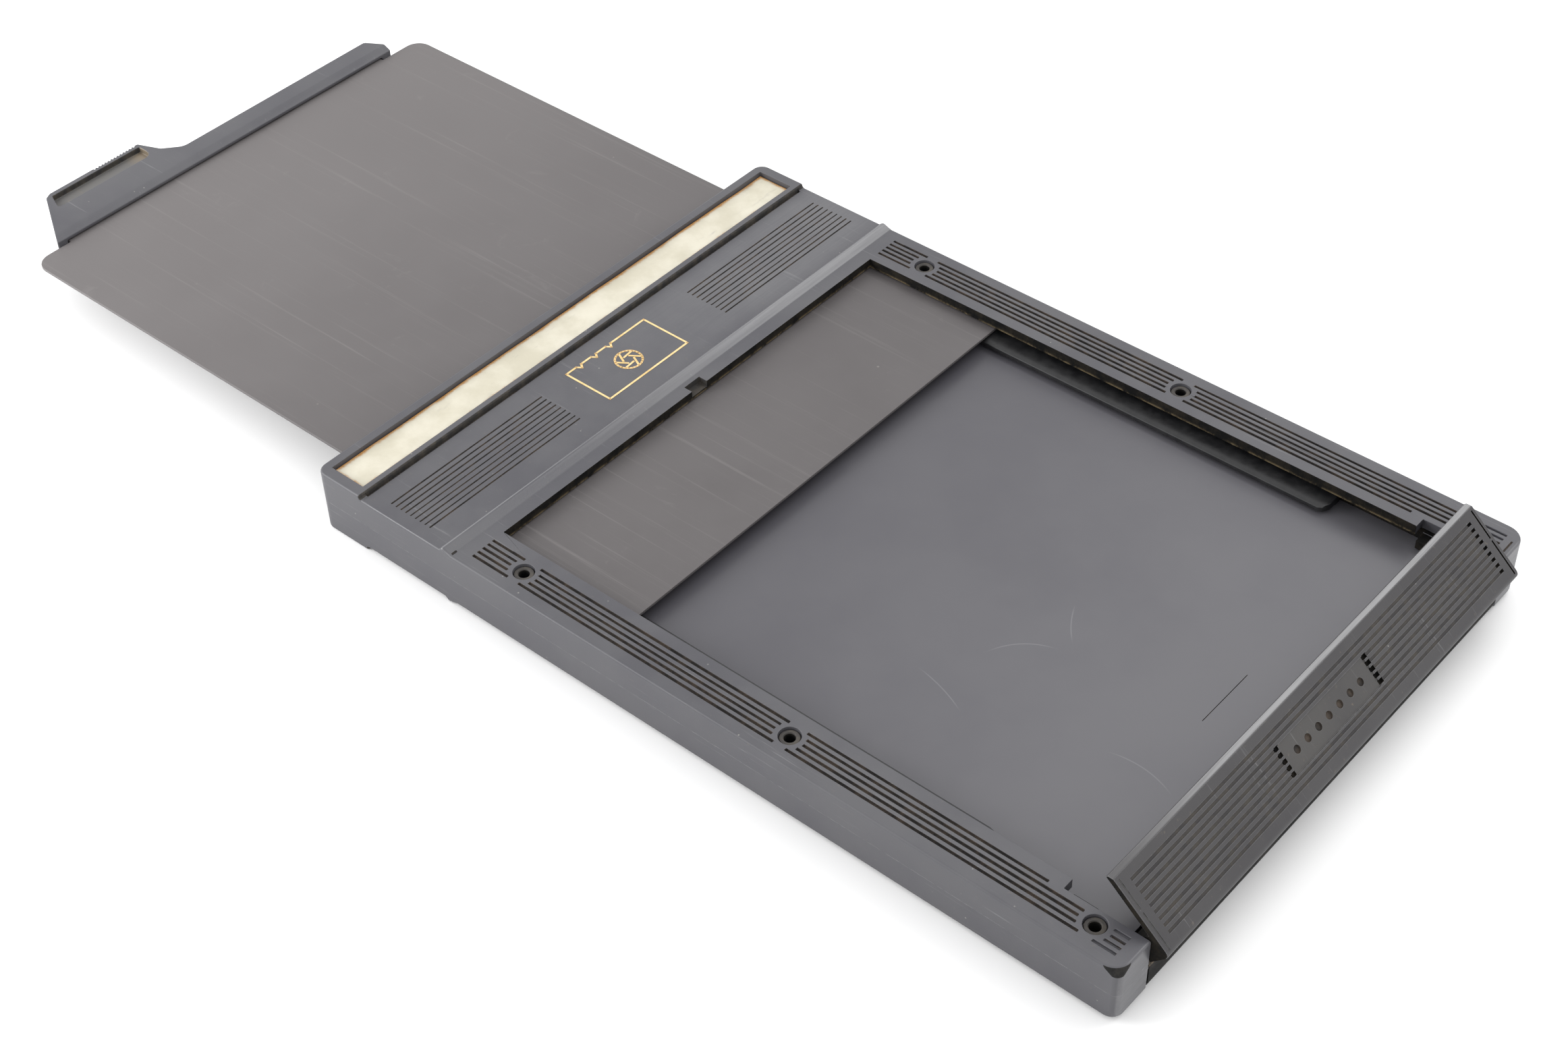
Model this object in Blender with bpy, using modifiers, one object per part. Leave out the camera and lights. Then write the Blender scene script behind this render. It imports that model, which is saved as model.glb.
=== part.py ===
"""Double sheet film holder, built as separate pieces.

Frame: +X runs from the slide handles to the loading flaps, +Z out of the front face, and the
origin lies under the head end, on the border that rests on the table.
Sizes are in millimetres. Every piece is drawn in its closed place on the front side, with the
middle of the front film plane as zero. The back side is the same set turned half a turn about
the X axis through the septum's middle. Everything is then set down from DATUM.
"""
import math

import bmesh
import bpy
from mathutils import Matrix, Vector

MM = 0.001

# Body
BODY_WIDTH = 120.6
HEAD_END = -97.05            # x of the end that the slides leave
FLAP_END = 75.85             # x of the end with the loading flaps
FACE_Z = 5.2                 # front sealing face above the film plane
SEPTUM_THICKNESS = 1.0
SEPTUM_WIDTH = 106.0
SEPTUM_START = -90.2
SEPTUM_END = 70.9
RAISED = 0.8                 # rib and label frame above the sealing face
CORNER_RADIUS = 2.2
GAP = 0.3                    # play between pieces that touch
MID_Z = -SEPTUM_THICKNESS / 2
DATUM = (-96.1, 0.0, -7.0)   # the drawn point that becomes the origin
SEAM_Z = MID_Z + GAP / 2     # parting face of each half
BEYOND = 3.0                 # how far a cutter passes what it cuts

# Window and flap pocket
WINDOW_LENGTH = 120.3
WINDOW_WIDTH = 100.1
POCKET_WIDTH = 104.6
LEDGE_END = 65.15            # x where the pocket's floor stops
NOTCH_WIDTH = 4.0            # small notch in the window's head edge
NOTCH_DEPTH = 1.9
NOTCH_FLOOR = 3.9

# Flaps
FLAP_START = 60.45
FLAP_PLATE = 1.2
FLAP_CHAMFER = 0.8
FLAP_BLOCK_START = 71.6
FLAP_RIB_START = 62.9
FLAP_RIB_END = 64.3
FLAP_RIB_TIP = 1.0
FLAP_RIB_LENGTH = 99.4       # the rib passes between the pocket's ledges
FLAP_OPEN_DEG = 41.4         # how far the front flap stands open
HINGE_X = 75.4
HINGE_Z = 0.1
HEEL_RADIUS = 0.45           # rounding of the hinge block's lower outer edge
STUB_RADIUS = 0.35
STUB_LENGTH = 1.7

# Dark slide and its channel
SLIDE_WIDTH = 104.0
SLIDE_THICKNESS = 0.6
SLIDE_TOP = 2.95
SLIDE_LEAD = 62.4            # x of the leading edge when pushed home
SLIDE_TAIL = -97.0
SLIDE_TONGUE = -102.3        # the tongue goes into the handle
SLIDE_PULL = 92.4            # how far the front slide is drawn out
CHANNEL_WIDTH = 105.2

# Handle
HANDLE_LIP = -97.35
HANDLE_NEAR = -45.8
HANDLE_FAR = 44.3
HANDLE_BAR = -103.25
HANDLE_TAB = -111.35
HANDLE_TOP = 4.7
HANDLE_BOTTOM = 0.6
HANDLE_CHAMFER = 0.75
TONGUE_NEAR = -43.0
TONGUE_FAR = 41.5

# Head panel
LABEL_LENGTH = 116.0
LABEL_START = -95.15
LABEL_END = -87.15
LABEL_FLOOR = 4.6
LABEL_TOP = 5.3
LABEL_FRAME_END = -85.75
RIB_FOOT_HEAD = -65.9
RIB_CREST = -65.0
RIB_FOOT_WINDOW = -62.9

# Grooves
GROOVE_WIDTH = 0.5
GROOVE_DEPTH = 0.45
RAIL_GROOVES = (52.7, 53.9, 55.1, 56.3, 57.5)
RAIL_GROOVE_START = -60.15
RAIL_GROOVE_END = 73.2
INNER_GROOVE_END = 57.6      # the innermost groove stops before the pocket
PANEL_GROOVE_COUNT = 9
PANEL_GROOVE_FIRST = -80.6
PANEL_GROOVE_PITCH = 1.205
PANEL_GROOVE_WIDTH = 0.3
PANEL_GROOVE_SPAN = (19.9, 57.4)
FLAP_GROOVE_COUNT = 9
FLAP_GROOVE_FIRST = 63.3
FLAP_GROOVE_PITCH = 1.21
FLAP_GROOVE_LENGTH = 98.9
FLAP_PANEL = (65.43, 71.14)  # sunk panel in the flap's middle
FLAP_PANEL_LENGTH = 24.8

# Rivets
RIVET_X = (-50.55, 8.65, 67.7)
RIVET_Y = 54.9
RIVET_BORE = 1.5
RIVET_TUBE = 2.1
RIVET_HOLE = 2.7
RIVET_FLANGE = 3.3
RIVET_SINK = 3.9
RIVET_SINK_FLOOR = 4.1
RIVET_FLANGE_THICKNESS = 0.4
RIVET_RING = 2.9             # radius kept free of grooves
ROUND_STEPS = 20

# Film rails, section in y and z
RAIL_LENGTH = (-62.5, 44.3)
RAIL_LIP_Y = 47.2
RAIL_WEB_Y = 50.9
RAIL_BACK_Y = 52.3
RAIL_TOP = 2.05
FILM_SLOT = 0.6

# Light trap
TRAP_SPAN = (-80.0, -72.0)
TRAP_WIDTH = 103.6
VELVET_BOTTOM = 1.45
SPRING_RISE = 0.65
SPRING_THICKNESS = 0.2
SPRING_STEPS = 8

PLASTIC = ((0.028, 0.029, 0.033), 0.42, 0.0)
FINISHES = {
    "shell": PLASTIC,
    "septum": ((0.030, 0.031, 0.037), 0.36, 0.0),
    "slide": ((0.045, 0.042, 0.040), 0.55, 0.0),
    "handle": PLASTIC,
    "flap": PLASTIC,
    "strip": ((0.80, 0.74, 0.58), 0.80, 0.0),
    "film_rail": ((0.012, 0.012, 0.013), 0.35, 0.0),
    "velvet": ((0.008, 0.008, 0.008), 0.95, 0.0),
    "spring": ((0.55, 0.50, 0.40), 0.30, 1.0),
    "rivet": ((0.020, 0.020, 0.022), 0.45, 0.6),
}


def clear_scene():
    for item in list(bpy.data.objects):
        bpy.data.objects.remove(item, do_unlink=True)


def new_collection(name):
    collection = bpy.data.collections.new(name)
    bpy.context.scene.collection.children.link(collection)
    return collection


def add_material(name, finish):
    colour, roughness, metallic = FINISHES[finish]
    material = bpy.data.materials.new(name)
    material.use_nodes = True
    shader = material.node_tree.nodes["Principled BSDF"]
    shader.inputs["Base Color"].default_value = (*colour, 1.0)
    shader.inputs["Roughness"].default_value = roughness
    shader.inputs["Metallic"].default_value = metallic
    return material


def mesh_from(name, bm):
    bmesh.ops.recalc_face_normals(bm, faces=bm.faces)
    bm.transform(Matrix.Scale(MM, 4))
    mesh = bpy.data.meshes.new(name)
    bm.to_mesh(mesh)
    bm.free()
    return mesh


def add_box(bm, low, high):
    """Add a box between two corners and return its vertices."""
    size = [high[i] - low[i] for i in range(3)]
    centre = [(high[i] + low[i]) / 2 for i in range(3)]
    place = Matrix.Translation(centre) @ Matrix.Diagonal((*size, 1.0))
    return bmesh.ops.create_cube(bm, size=1.0, matrix=place)["verts"]


def add_prism(bm, outline, low, high, axis):
    """Add an outline of two coordinates, drawn out along the third axis from low to high."""
    def corner(point, along):
        values = list(point)
        values.insert(axis, along)
        return bm.verts.new(values)

    start = bm.faces.new([corner(point, low) for point in outline])
    move = Vector((0.0, 0.0, 0.0))
    move[axis] = high - low
    top = bmesh.ops.extrude_face_region(bm, geom=[start], use_keep_orig=True)["geom"]
    bmesh.ops.translate(bm, verts=[v for v in top if isinstance(v, bmesh.types.BMVert)], vec=move)


def add_cylinder(bm, x, y, radius, low, high):
    place = Matrix.Translation((x, y, (low + high) / 2))
    bmesh.ops.create_cone(bm, cap_ends=True, segments=ROUND_STEPS, radius1=radius,
                          radius2=radius, depth=high - low, matrix=place)


def arc(centre, radius, start_deg, end_deg, steps):
    """Points on an arc, both ends included."""
    points = []
    for i in range(steps + 1):
        angle = math.radians(start_deg + (end_deg - start_deg) * i / steps)
        points.append((centre[0] + radius * math.cos(angle), centre[1] + radius * math.sin(angle)))
    return points


def round_upright_edges(bm, verts, radius):
    """Round the edges that stand along Z."""
    edges = {edge for vert in verts for edge in vert.link_edges}
    upright = []
    for edge in edges:
        a, b = (v.co for v in edge.verts)
        if abs(a.x - b.x) < 1e-6 and abs(a.y - b.y) < 1e-6:
            upright.append(edge)
    bmesh.ops.bevel(bm, geom=upright, offset=radius, segments=3, profile=0.5, affect="EDGES")


class Workshop:
    """Holds the collections and bakes booleans into closed meshes."""

    def __init__(self):
        self.parts = new_collection("sheet_film_holder")
        self.cutters = new_collection("cutters")

    def solid(self, name, bm, collection=None):
        item = bpy.data.objects.new(name, mesh_from(name, bm))
        (collection or self.parts).objects.link(item)
        return item

    def tool(self, name, bm):
        item = self.solid(name, bm, self.cutters)
        item.hide_render = True
        item.display_type = "WIRE"
        return item

    def combine(self, base, tools, operation):
        """Apply one EXACT boolean for each tool."""
        for tool in tools:
            modifier = base.modifiers.new(tool.name, "BOOLEAN")
            modifier.object = tool
            modifier.operation = operation
            modifier.solver = "EXACT"

    def baked(self, item):
        """Return the item's evaluated mesh and remove the item."""
        graph = bpy.context.evaluated_depsgraph_get()
        mesh = bpy.data.meshes.new_from_object(item.evaluated_get(graph))
        bpy.data.objects.remove(item, do_unlink=True)
        return mesh


def groove_spans(y):
    """Stretches of a rail groove at y, broken around the rivets."""
    end = INNER_GROOVE_END if y == RAIL_GROOVES[0] else RAIL_GROOVE_END
    half = math.sqrt(RIVET_RING ** 2 - (y - RIVET_Y) ** 2)
    spans = []
    start = RAIL_GROOVE_START
    for x in RIVET_X:
        if x - half < end:
            spans.append((start, x - half))
            start = x + half
    if start < end:
        spans.append((start, end))
    return spans


def shell_grooves():
    bm = bmesh.new()
    floor = FACE_Z - GROOVE_DEPTH
    for side in (-1, 1):
        for y in RAIL_GROOVES:
            for start, end in groove_spans(y):
                low = side * y - GROOVE_WIDTH / 2
                add_box(bm, (start, low, floor), (end, low + GROOVE_WIDTH, FACE_Z + BEYOND))
        for i in range(PANEL_GROOVE_COUNT):
            x = PANEL_GROOVE_FIRST + i * PANEL_GROOVE_PITCH - PANEL_GROOVE_WIDTH / 2
            near, far = sorted(side * y for y in PANEL_GROOVE_SPAN)
            add_box(bm, (x, near, FACE_Z - PANEL_GROOVE_WIDTH),
                    (x + PANEL_GROOVE_WIDTH, far, FACE_Z + BEYOND))
    return bm


def shell_rivet_holes():
    bm = bmesh.new()
    for x in RIVET_X:
        for y in (-RIVET_Y, RIVET_Y):
            add_cylinder(bm, x, y, RIVET_HOLE / 2, SEAM_Z - BEYOND, FACE_Z + BEYOND)
    return bm


def shell_rivet_sinks():
    bm = bmesh.new()
    for x in RIVET_X:
        for y in (-RIVET_Y, RIVET_Y):
            add_cylinder(bm, x, y, RIVET_SINK / 2, RIVET_SINK_FLOOR, FACE_Z + BEYOND)
    return bm


def box_tool(shop, name, low, high):
    bm = bmesh.new()
    add_box(bm, low, high)
    return shop.tool(name, bm)


def make_shell(shop):
    """One moulded half: side rails, head panel, locating rib and label frame."""
    crest = FACE_Z + RAISED
    side = [(HEAD_END - 1, SEAM_Z), (FLAP_END + 1, SEAM_Z), (FLAP_END + 1, FACE_Z),
            (RIB_FOOT_WINDOW, FACE_Z), (RIB_CREST, crest), (RIB_FOOT_HEAD, FACE_Z),
            (LABEL_FRAME_END, FACE_Z), (LABEL_FRAME_END, crest), (HEAD_END - 1, crest)]
    bm = bmesh.new()
    add_prism(bm, side, -BODY_WIDTH, BODY_WIDTH, 1)
    shell = shop.solid("shell", bm)
    half = BODY_WIDTH / 2
    bm = bmesh.new()
    verts = add_box(bm, (HEAD_END, -half, SEAM_Z - 1), (FLAP_END, half, crest + 1))
    round_upright_edges(bm, verts, CORNER_RADIUS)
    shop.combine(shell, [shop.tool("outline", bm)], "INTERSECT")

    low = SEAM_Z - BEYOND
    high = FACE_Z + BEYOND
    window = WINDOW_LENGTH / 2
    width = WINDOW_WIDTH / 2
    channel = CHANNEL_WIDTH / 2
    pocket = POCKET_WIDTH / 2
    rebate = SEPTUM_WIDTH / 2 + GAP
    top = SLIDE_TOP + GAP
    floor = SLIDE_TOP - SLIDE_THICKNESS - GAP
    boxes = {
        "window": ((-window, -width, low), (LEDGE_END + 1, width, high)),
        "channel": ((HEAD_END - BEYOND, -channel, floor), (LEDGE_END + GAP, channel, top)),
        "cavity": ((SEPTUM_START - GAP, -channel, low), (window + 0.4, channel, SLIDE_TOP)),
        "rebate": ((SEPTUM_START - GAP, -rebate, low), (SEPTUM_END + GAP, rebate, GAP)),
        "pocket": ((window, -pocket, SLIDE_TOP - GAP), (FLAP_END + BEYOND, pocket, high)),
        "pocket_floor": ((LEDGE_END, -pocket, low), (FLAP_END + BEYOND, pocket, high)),
        "notch": ((-window - NOTCH_DEPTH, 0.5 - NOTCH_WIDTH / 2, NOTCH_FLOOR),
                  (-window + 1, 0.5 + NOTCH_WIDTH / 2, high)),
        "label": ((LABEL_START, -LABEL_LENGTH / 2, LABEL_FLOOR),
                  (LABEL_END, LABEL_LENGTH / 2, high)),
        "stub_slots": ((HINGE_X - HEEL_RADIUS - GAP, -pocket - STUB_LENGTH, low),
                       (FLAP_END + BEYOND, pocket + STUB_LENGTH, HINGE_Z + HEEL_RADIUS + GAP)),
    }
    cuts = [box_tool(shop, name, *corners) for name, corners in boxes.items()]
    cuts.append(shop.tool("grooves", shell_grooves()))
    cuts.append(shop.tool("rivet_holes", shell_rivet_holes()))
    cuts.append(shop.tool("rivet_sinks", shell_rivet_sinks()))
    shop.combine(shell, cuts, "DIFFERENCE")
    return shop.baked(shell)


def make_septum(shop):
    """The plate that both sheets of film lie on, with a short line engraved near its end."""
    bm = bmesh.new()
    half = SEPTUM_WIDTH / 2
    verts = add_box(bm, (SEPTUM_START, -half, -SEPTUM_THICKNESS), (SEPTUM_END, half, 0.0))
    round_upright_edges(bm, verts, 1.5)
    return shop.solid("septum", bm)


def make_slide(shop):
    """The plate that covers the film; its tongue is held in the handle."""
    half = SLIDE_WIDTH / 2
    radius = 3.0
    lead = 1.2
    outline = [(SLIDE_LEAD - lead, -half), (SLIDE_LEAD, -half + lead),
               (SLIDE_LEAD, half - lead), (SLIDE_LEAD - lead, half)]
    outline += arc((SLIDE_TAIL + radius, half - radius), radius, 90, 180, 4)
    outline += [(SLIDE_TAIL, TONGUE_FAR), (SLIDE_TONGUE, TONGUE_FAR),
                (SLIDE_TONGUE, TONGUE_NEAR), (SLIDE_TAIL, TONGUE_NEAR)]
    outline += arc((SLIDE_TAIL + radius, -half + radius), radius, 180, 270, 4)
    bm = bmesh.new()
    add_prism(bm, outline, SLIDE_TOP - SLIDE_THICKNESS, SLIDE_TOP, 2)
    return shop.baked(shop.solid("slide", bm))


def make_handle(shop):
    """Pull bar with a finger tab at one end, chamfered towards the holder."""
    outline = [(HANDLE_LIP, HANDLE_NEAR), (HANDLE_TAB + 0.8, -38.0), (HANDLE_TAB, -36.8),
               (HANDLE_TAB, -14.4), (-106.0, -12.2), (-104.1, -11.3), (HANDLE_BAR, -9.8),
               (HANDLE_BAR, 41.7), (-99.6, HANDLE_FAR), (HANDLE_LIP, HANDLE_FAR)]
    bm = bmesh.new()
    add_prism(bm, outline, HANDLE_BOTTOM, HANDLE_TOP, 2)
    lips = [edge for edge in bm.edges
            if all(abs(v.co.x - HANDLE_LIP) < 1e-4 for v in edge.verts)
            and abs(edge.verts[0].co.z - edge.verts[1].co.z) < 1e-4]
    bmesh.ops.bevel(bm, geom=lips, offset=HANDLE_CHAMFER, segments=1, affect="EDGES")
    handle = shop.solid("handle", bm)
    slot = box_tool(shop, "handle_slot",
                    (SLIDE_TONGUE - GAP, TONGUE_NEAR - GAP, SLIDE_TOP - SLIDE_THICKNESS - GAP),
                    (HANDLE_LIP + BEYOND, TONGUE_FAR + GAP, SLIDE_TOP + GAP))
    pocket = box_tool(shop, "finger_pocket", (HANDLE_TAB + 0.9, -36.5, HANDLE_TOP - 1.0),
                      (HANDLE_TAB + 4.4, -14.5, HANDLE_TOP + BEYOND))
    shop.combine(handle, [slot, pocket], "DIFFERENCE")
    return shop.baked(handle)


def make_flap(shop):
    """Loading flap: thin cover plate, light rib, hinge block and two pivot stubs."""
    half = (POCKET_WIDTH - 2 * GAP) / 2
    under = FACE_Z - FLAP_PLATE
    section = [(FLAP_START, under), (FLAP_BLOCK_START, under),
               (FLAP_BLOCK_START, HINGE_Z - HEEL_RADIUS)]
    section += arc((HINGE_X, HINGE_Z), HEEL_RADIUS, 270, 360, 4)
    section += [(FLAP_END, FACE_Z), (FLAP_START + 1.2, FACE_Z), (FLAP_START, FACE_Z - FLAP_CHAMFER)]
    bm = bmesh.new()
    add_prism(bm, section, -half, half, 1)
    flap = shop.solid("flap", bm)

    bm = bmesh.new()
    reach = half + STUB_LENGTH
    turn = Matrix.Translation((HINGE_X, 0.0, HINGE_Z)) @ Matrix.Rotation(math.pi / 2, 4, "X")
    bmesh.ops.create_cone(bm, cap_ends=True, segments=16, radius1=STUB_RADIUS,
                          radius2=STUB_RADIUS, depth=2 * reach, matrix=turn)
    stubs = shop.tool("flap_stubs", bm)
    rib = box_tool(shop, "flap_rib", (FLAP_RIB_START, -FLAP_RIB_LENGTH / 2, FLAP_RIB_TIP),
                   (FLAP_RIB_END, FLAP_RIB_LENGTH / 2, under + 0.3))
    shop.combine(flap, [stubs, rib], "UNION")

    bm = bmesh.new()
    floor = FACE_Z - GROOVE_DEPTH
    for i in range(FLAP_GROOVE_COUNT):
        x = FLAP_GROOVE_FIRST + i * FLAP_GROOVE_PITCH
        add_box(bm, (x - GROOVE_WIDTH / 2, -FLAP_GROOVE_LENGTH / 2, floor),
                (x + GROOVE_WIDTH / 2, FLAP_GROOVE_LENGTH / 2, FACE_Z + BEYOND))
    grooves = shop.tool("flap_grooves", bm)
    panel = box_tool(shop, "flap_panel", (FLAP_PANEL[0], -FLAP_PANEL_LENGTH / 2, floor - 0.05),
                     (FLAP_PANEL[1], FLAP_PANEL_LENGTH / 2, FACE_Z + BEYOND))
    shop.combine(flap, [grooves, panel], "DIFFERENCE")
    return shop.baked(flap)


def make_strip(shop):
    """Card strip that lies in the label frame."""
    bm = bmesh.new()
    add_box(bm, (LABEL_START + GAP, -LABEL_LENGTH / 2 + GAP, LABEL_FLOOR + GAP),
            (LABEL_END - GAP, LABEL_LENGTH / 2 - GAP, LABEL_TOP))
    return shop.baked(shop.solid("strip", bm))


def make_film_rail(shop, side):
    """Thin rail whose lip holds one long edge of the film down on the septum."""
    section = [(RAIL_LIP_Y, FILM_SLOT), (RAIL_WEB_Y, FILM_SLOT), (RAIL_WEB_Y, GAP),
               (RAIL_BACK_Y, GAP), (RAIL_BACK_Y, RAIL_TOP), (RAIL_LIP_Y, RAIL_TOP)]
    bm = bmesh.new()
    add_prism(bm, [(side * y, z) for y, z in section], *RAIL_LENGTH, 0)
    return shop.baked(shop.solid("rail", bm))


def make_velvet(shop):
    bm = bmesh.new()
    add_box(bm, (TRAP_SPAN[0], -TRAP_WIDTH / 2, VELVET_BOTTOM),
            (TRAP_SPAN[1], TRAP_WIDTH / 2, SLIDE_TOP - SLIDE_THICKNESS - GAP))
    return shop.baked(shop.solid("velvet", bm))


def make_spring(shop):
    """Bowed leaf: an arch in section, as long as the velvet."""
    middle = sum(TRAP_SPAN) / 2
    reach = (TRAP_SPAN[1] - TRAP_SPAN[0]) / 2
    under = []
    for i in range(SPRING_STEPS + 1):
        t = -1 + 2 * i / SPRING_STEPS
        under.append((middle + reach * t, GAP + SPRING_RISE * (1 - t * t)))
    over = [(x, z + SPRING_THICKNESS) for x, z in reversed(under)]
    bm = bmesh.new()
    add_prism(bm, under + over, -TRAP_WIDTH / 2, TRAP_WIDTH / 2, 1)
    return shop.baked(shop.solid("spring", bm))


def make_rivet(shop):
    """Tubular rivet turned about Z, with a flange in each counterbore."""
    flange_top = RIVET_SINK_FLOOR + GAP + RIVET_FLANGE_THICKNESS - MID_Z
    flange_under = flange_top - RIVET_FLANGE_THICKNESS
    bore, tube, flange = RIVET_BORE / 2, RIVET_TUBE / 2, RIVET_FLANGE / 2
    profile = [(bore, flange_top), (flange, flange_top), (flange, flange_under),
               (tube, flange_under), (tube, -flange_under), (flange, -flange_under),
               (flange, -flange_top), (bore, -flange_top)]
    bm = bmesh.new()
    ring = [bm.verts.new((r * MM, 0.0, z * MM)) for r, z in profile]
    for i, vert in enumerate(ring):
        bm.edges.new((vert, ring[(i + 1) % len(ring)]))
    mesh = bpy.data.meshes.new("rivet")
    bm.to_mesh(mesh)
    bm.free()
    rivet = bpy.data.objects.new("rivet", mesh)
    shop.parts.objects.link(rivet)
    screw = rivet.modifiers.new("turn", "SCREW")
    screw.steps = ROUND_STEPS
    screw.render_steps = ROUND_STEPS
    screw.use_merge_vertices = True
    screw.merge_threshold = 0.00001
    return shop.baked(rivet)


def add_empty(shop, name, parent, place):
    empty = bpy.data.objects.new(name, None)
    shop.parts.objects.link(empty)
    empty.parent = parent
    empty.location = Vector(place) * MM
    return empty


def add_piece(shop, name, mesh, finish, pivot, place=(0.0, 0.0, 0.0)):
    """Hang a mesh drawn in the closed place on its pivot."""
    mesh = mesh.copy()
    mesh.name = name
    mesh.materials.clear()
    mesh.materials.append(add_material(name, finish))
    item = bpy.data.objects.new(name, mesh)
    shop.parts.objects.link(item)
    item.parent = pivot
    item.location = -Vector(place) * MM
    return item


def add_side(shop, side, meshes):
    """Hang one side's pieces; the back side is turned over."""
    middle = (0.0, 0.0, MID_Z)
    turned = add_empty(shop, f"{side}_side", None, Vector(middle) - Vector(DATUM))
    fixed = add_empty(shop, f"{side}_fixed", turned, (0.0, 0.0, 0.0))
    slide_axis = (0.0, 0.0, SLIDE_TOP - SLIDE_THICKNESS / 2)
    hinge = (HINGE_X, 0.0, HINGE_Z)
    pull = add_empty(shop, f"{side}_slide_pull", turned, Vector(slide_axis) - Vector(middle))
    swing = add_empty(shop, f"{side}_flap_hinge", turned, Vector(hinge) - Vector(middle))
    if side == "back":
        turned.rotation_euler.x = math.pi
    else:
        pull.location.x = -SLIDE_PULL * MM
        swing.rotation_euler.y = math.radians(FLAP_OPEN_DEG)

    for name, finish in (("shell", "shell"), ("writing_strip", "strip"),
                         ("film_rail_near", "film_rail"), ("film_rail_far", "film_rail"),
                         ("trap_velvet", "velvet"), ("trap_spring", "spring")):
        add_piece(shop, f"{side}_{name}", meshes[name], finish, fixed, middle)
    add_piece(shop, f"{side}_dark_slide", meshes["dark_slide"], "slide", pull, slide_axis)
    add_piece(shop, f"{side}_slide_handle", meshes["slide_handle"], "handle", pull, slide_axis)
    add_piece(shop, f"{side}_flap", meshes["flap"], "flap", swing, hinge)


def add_rivets(shop):
    mesh = make_rivet(shop)
    number = 0
    for y in (-RIVET_Y, RIVET_Y):
        for x in RIVET_X:
            number += 1
            rivet = add_piece(shop, f"rivet_{number}", mesh, "rivet", None)
            rivet.location = (Vector((x, y, MID_Z)) - Vector(DATUM)) * MM


def build():
    clear_scene()
    shop = Workshop()
    meshes = {
        "shell": make_shell(shop),
        "writing_strip": make_strip(shop),
        "film_rail_near": make_film_rail(shop, -1),
        "film_rail_far": make_film_rail(shop, 1),
        "trap_velvet": make_velvet(shop),
        "trap_spring": make_spring(shop),
        "dark_slide": make_slide(shop),
        "slide_handle": make_handle(shop),
        "flap": make_flap(shop),
    }
    for side in ("front", "back"):
        add_side(shop, side, meshes)
    septum = make_septum(shop)
    septum.location = -Vector(DATUM) * MM
    septum.data.materials.append(add_material("septum", "septum"))
    add_rivets(shop)


build()
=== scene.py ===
import math

import bmesh
import bpy
from mathutils import Matrix, Vector


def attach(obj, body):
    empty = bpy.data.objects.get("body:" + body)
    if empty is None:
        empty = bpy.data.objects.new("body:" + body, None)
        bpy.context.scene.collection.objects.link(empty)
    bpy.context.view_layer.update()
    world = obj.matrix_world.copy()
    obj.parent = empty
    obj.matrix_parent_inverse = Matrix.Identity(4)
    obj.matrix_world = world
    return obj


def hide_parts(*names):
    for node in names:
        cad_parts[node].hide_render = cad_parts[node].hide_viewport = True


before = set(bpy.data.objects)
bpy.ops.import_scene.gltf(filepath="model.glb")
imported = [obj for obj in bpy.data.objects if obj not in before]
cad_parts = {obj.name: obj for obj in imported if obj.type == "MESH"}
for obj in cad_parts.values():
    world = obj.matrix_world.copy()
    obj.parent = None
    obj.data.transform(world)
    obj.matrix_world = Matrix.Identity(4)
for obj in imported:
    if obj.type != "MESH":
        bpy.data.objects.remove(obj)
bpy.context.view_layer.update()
print("frame loaded:", len(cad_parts), "nodes")

# Everything is drawn in millimetres, closed, on the front side, with the middle of the
# front film plane as zero. homePlace() then sets it down in the frame.
mm = 0.001
datum = Vector((-96.1, 0.0, -7.0))    # drawn point that lands on the frame's origin
midZ = -0.5                           # middle of the septum
slidePull = 92.4                      # how far the front slide is drawn out
flapOpen = math.radians(41.4)         # how far the front flap stands open
hinge = Vector((75.4, 0.0, 0.1))
beyond = 3.0                          # how far a cutter passes what it cuts
overrun = 5.0                         # the same for a long cutter
lap = 1.0                             # how far two cutters reach into each other
seam = 0.005                          # half the hairline between the two cases
turnSteps = 24                        # sides of a hinge stub and of its hole
hair = 0.02                           # lift of printed things off their face


def boxInto(bm, low, high):
    size = [high[i] - low[i] for i in range(3)]
    centre = [(high[i] + low[i]) / 2 for i in range(3)]
    place = Matrix.Translation(centre) @ Matrix.Diagonal((*size, 1.0))
    return bmesh.ops.create_cube(bm, size=1.0, matrix=place)["verts"]


def prismInto(bm, outline, low, high, axis):
    def corner(point, along):
        values = list(point)
        values.insert(axis, along)
        return bm.verts.new(values)

    start = bm.faces.new([corner(point, low) for point in outline])
    top = bmesh.ops.extrude_face_region(bm, geom=[start], use_keep_orig=True)["geom"]
    move = Vector((0.0, 0.0, 0.0))
    move[axis] = high - low
    verts = [v for v in top if isinstance(v, bmesh.types.BMVert)]
    bmesh.ops.translate(bm, verts=verts, vec=move)


def loftInto(bm, loops):
    # loops are (outline, z) with the same count of points, from the lowest up
    rings = [[bm.verts.new((x, y, z)) for x, y in outline] for outline, z in loops]
    bm.faces.new(rings[0])
    bm.faces.new(rings[-1])
    for lower, upper in zip(rings, rings[1:]):
        for i in range(len(lower)):
            k = (i + 1) % len(lower)
            bm.faces.new((lower[i], lower[k], upper[k], upper[i]))


def postInto(bm, x, y, radius, low, high, steps=40):
    place = Matrix.Translation((x, y, (low + high) / 2))
    bmesh.ops.create_cone(bm, cap_ends=True, segments=steps, radius1=radius,
                          radius2=radius, depth=high - low, matrix=place)


def crossRodInto(bm, radius, length):
    # a rod along the hinge line, from side to side
    place = Matrix.Translation(hinge) @ Matrix.Rotation(math.pi / 2, 4, "X")
    bmesh.ops.create_cone(bm, cap_ends=True, segments=turnSteps, radius1=radius, radius2=radius,
                          depth=length, matrix=place)


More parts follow.
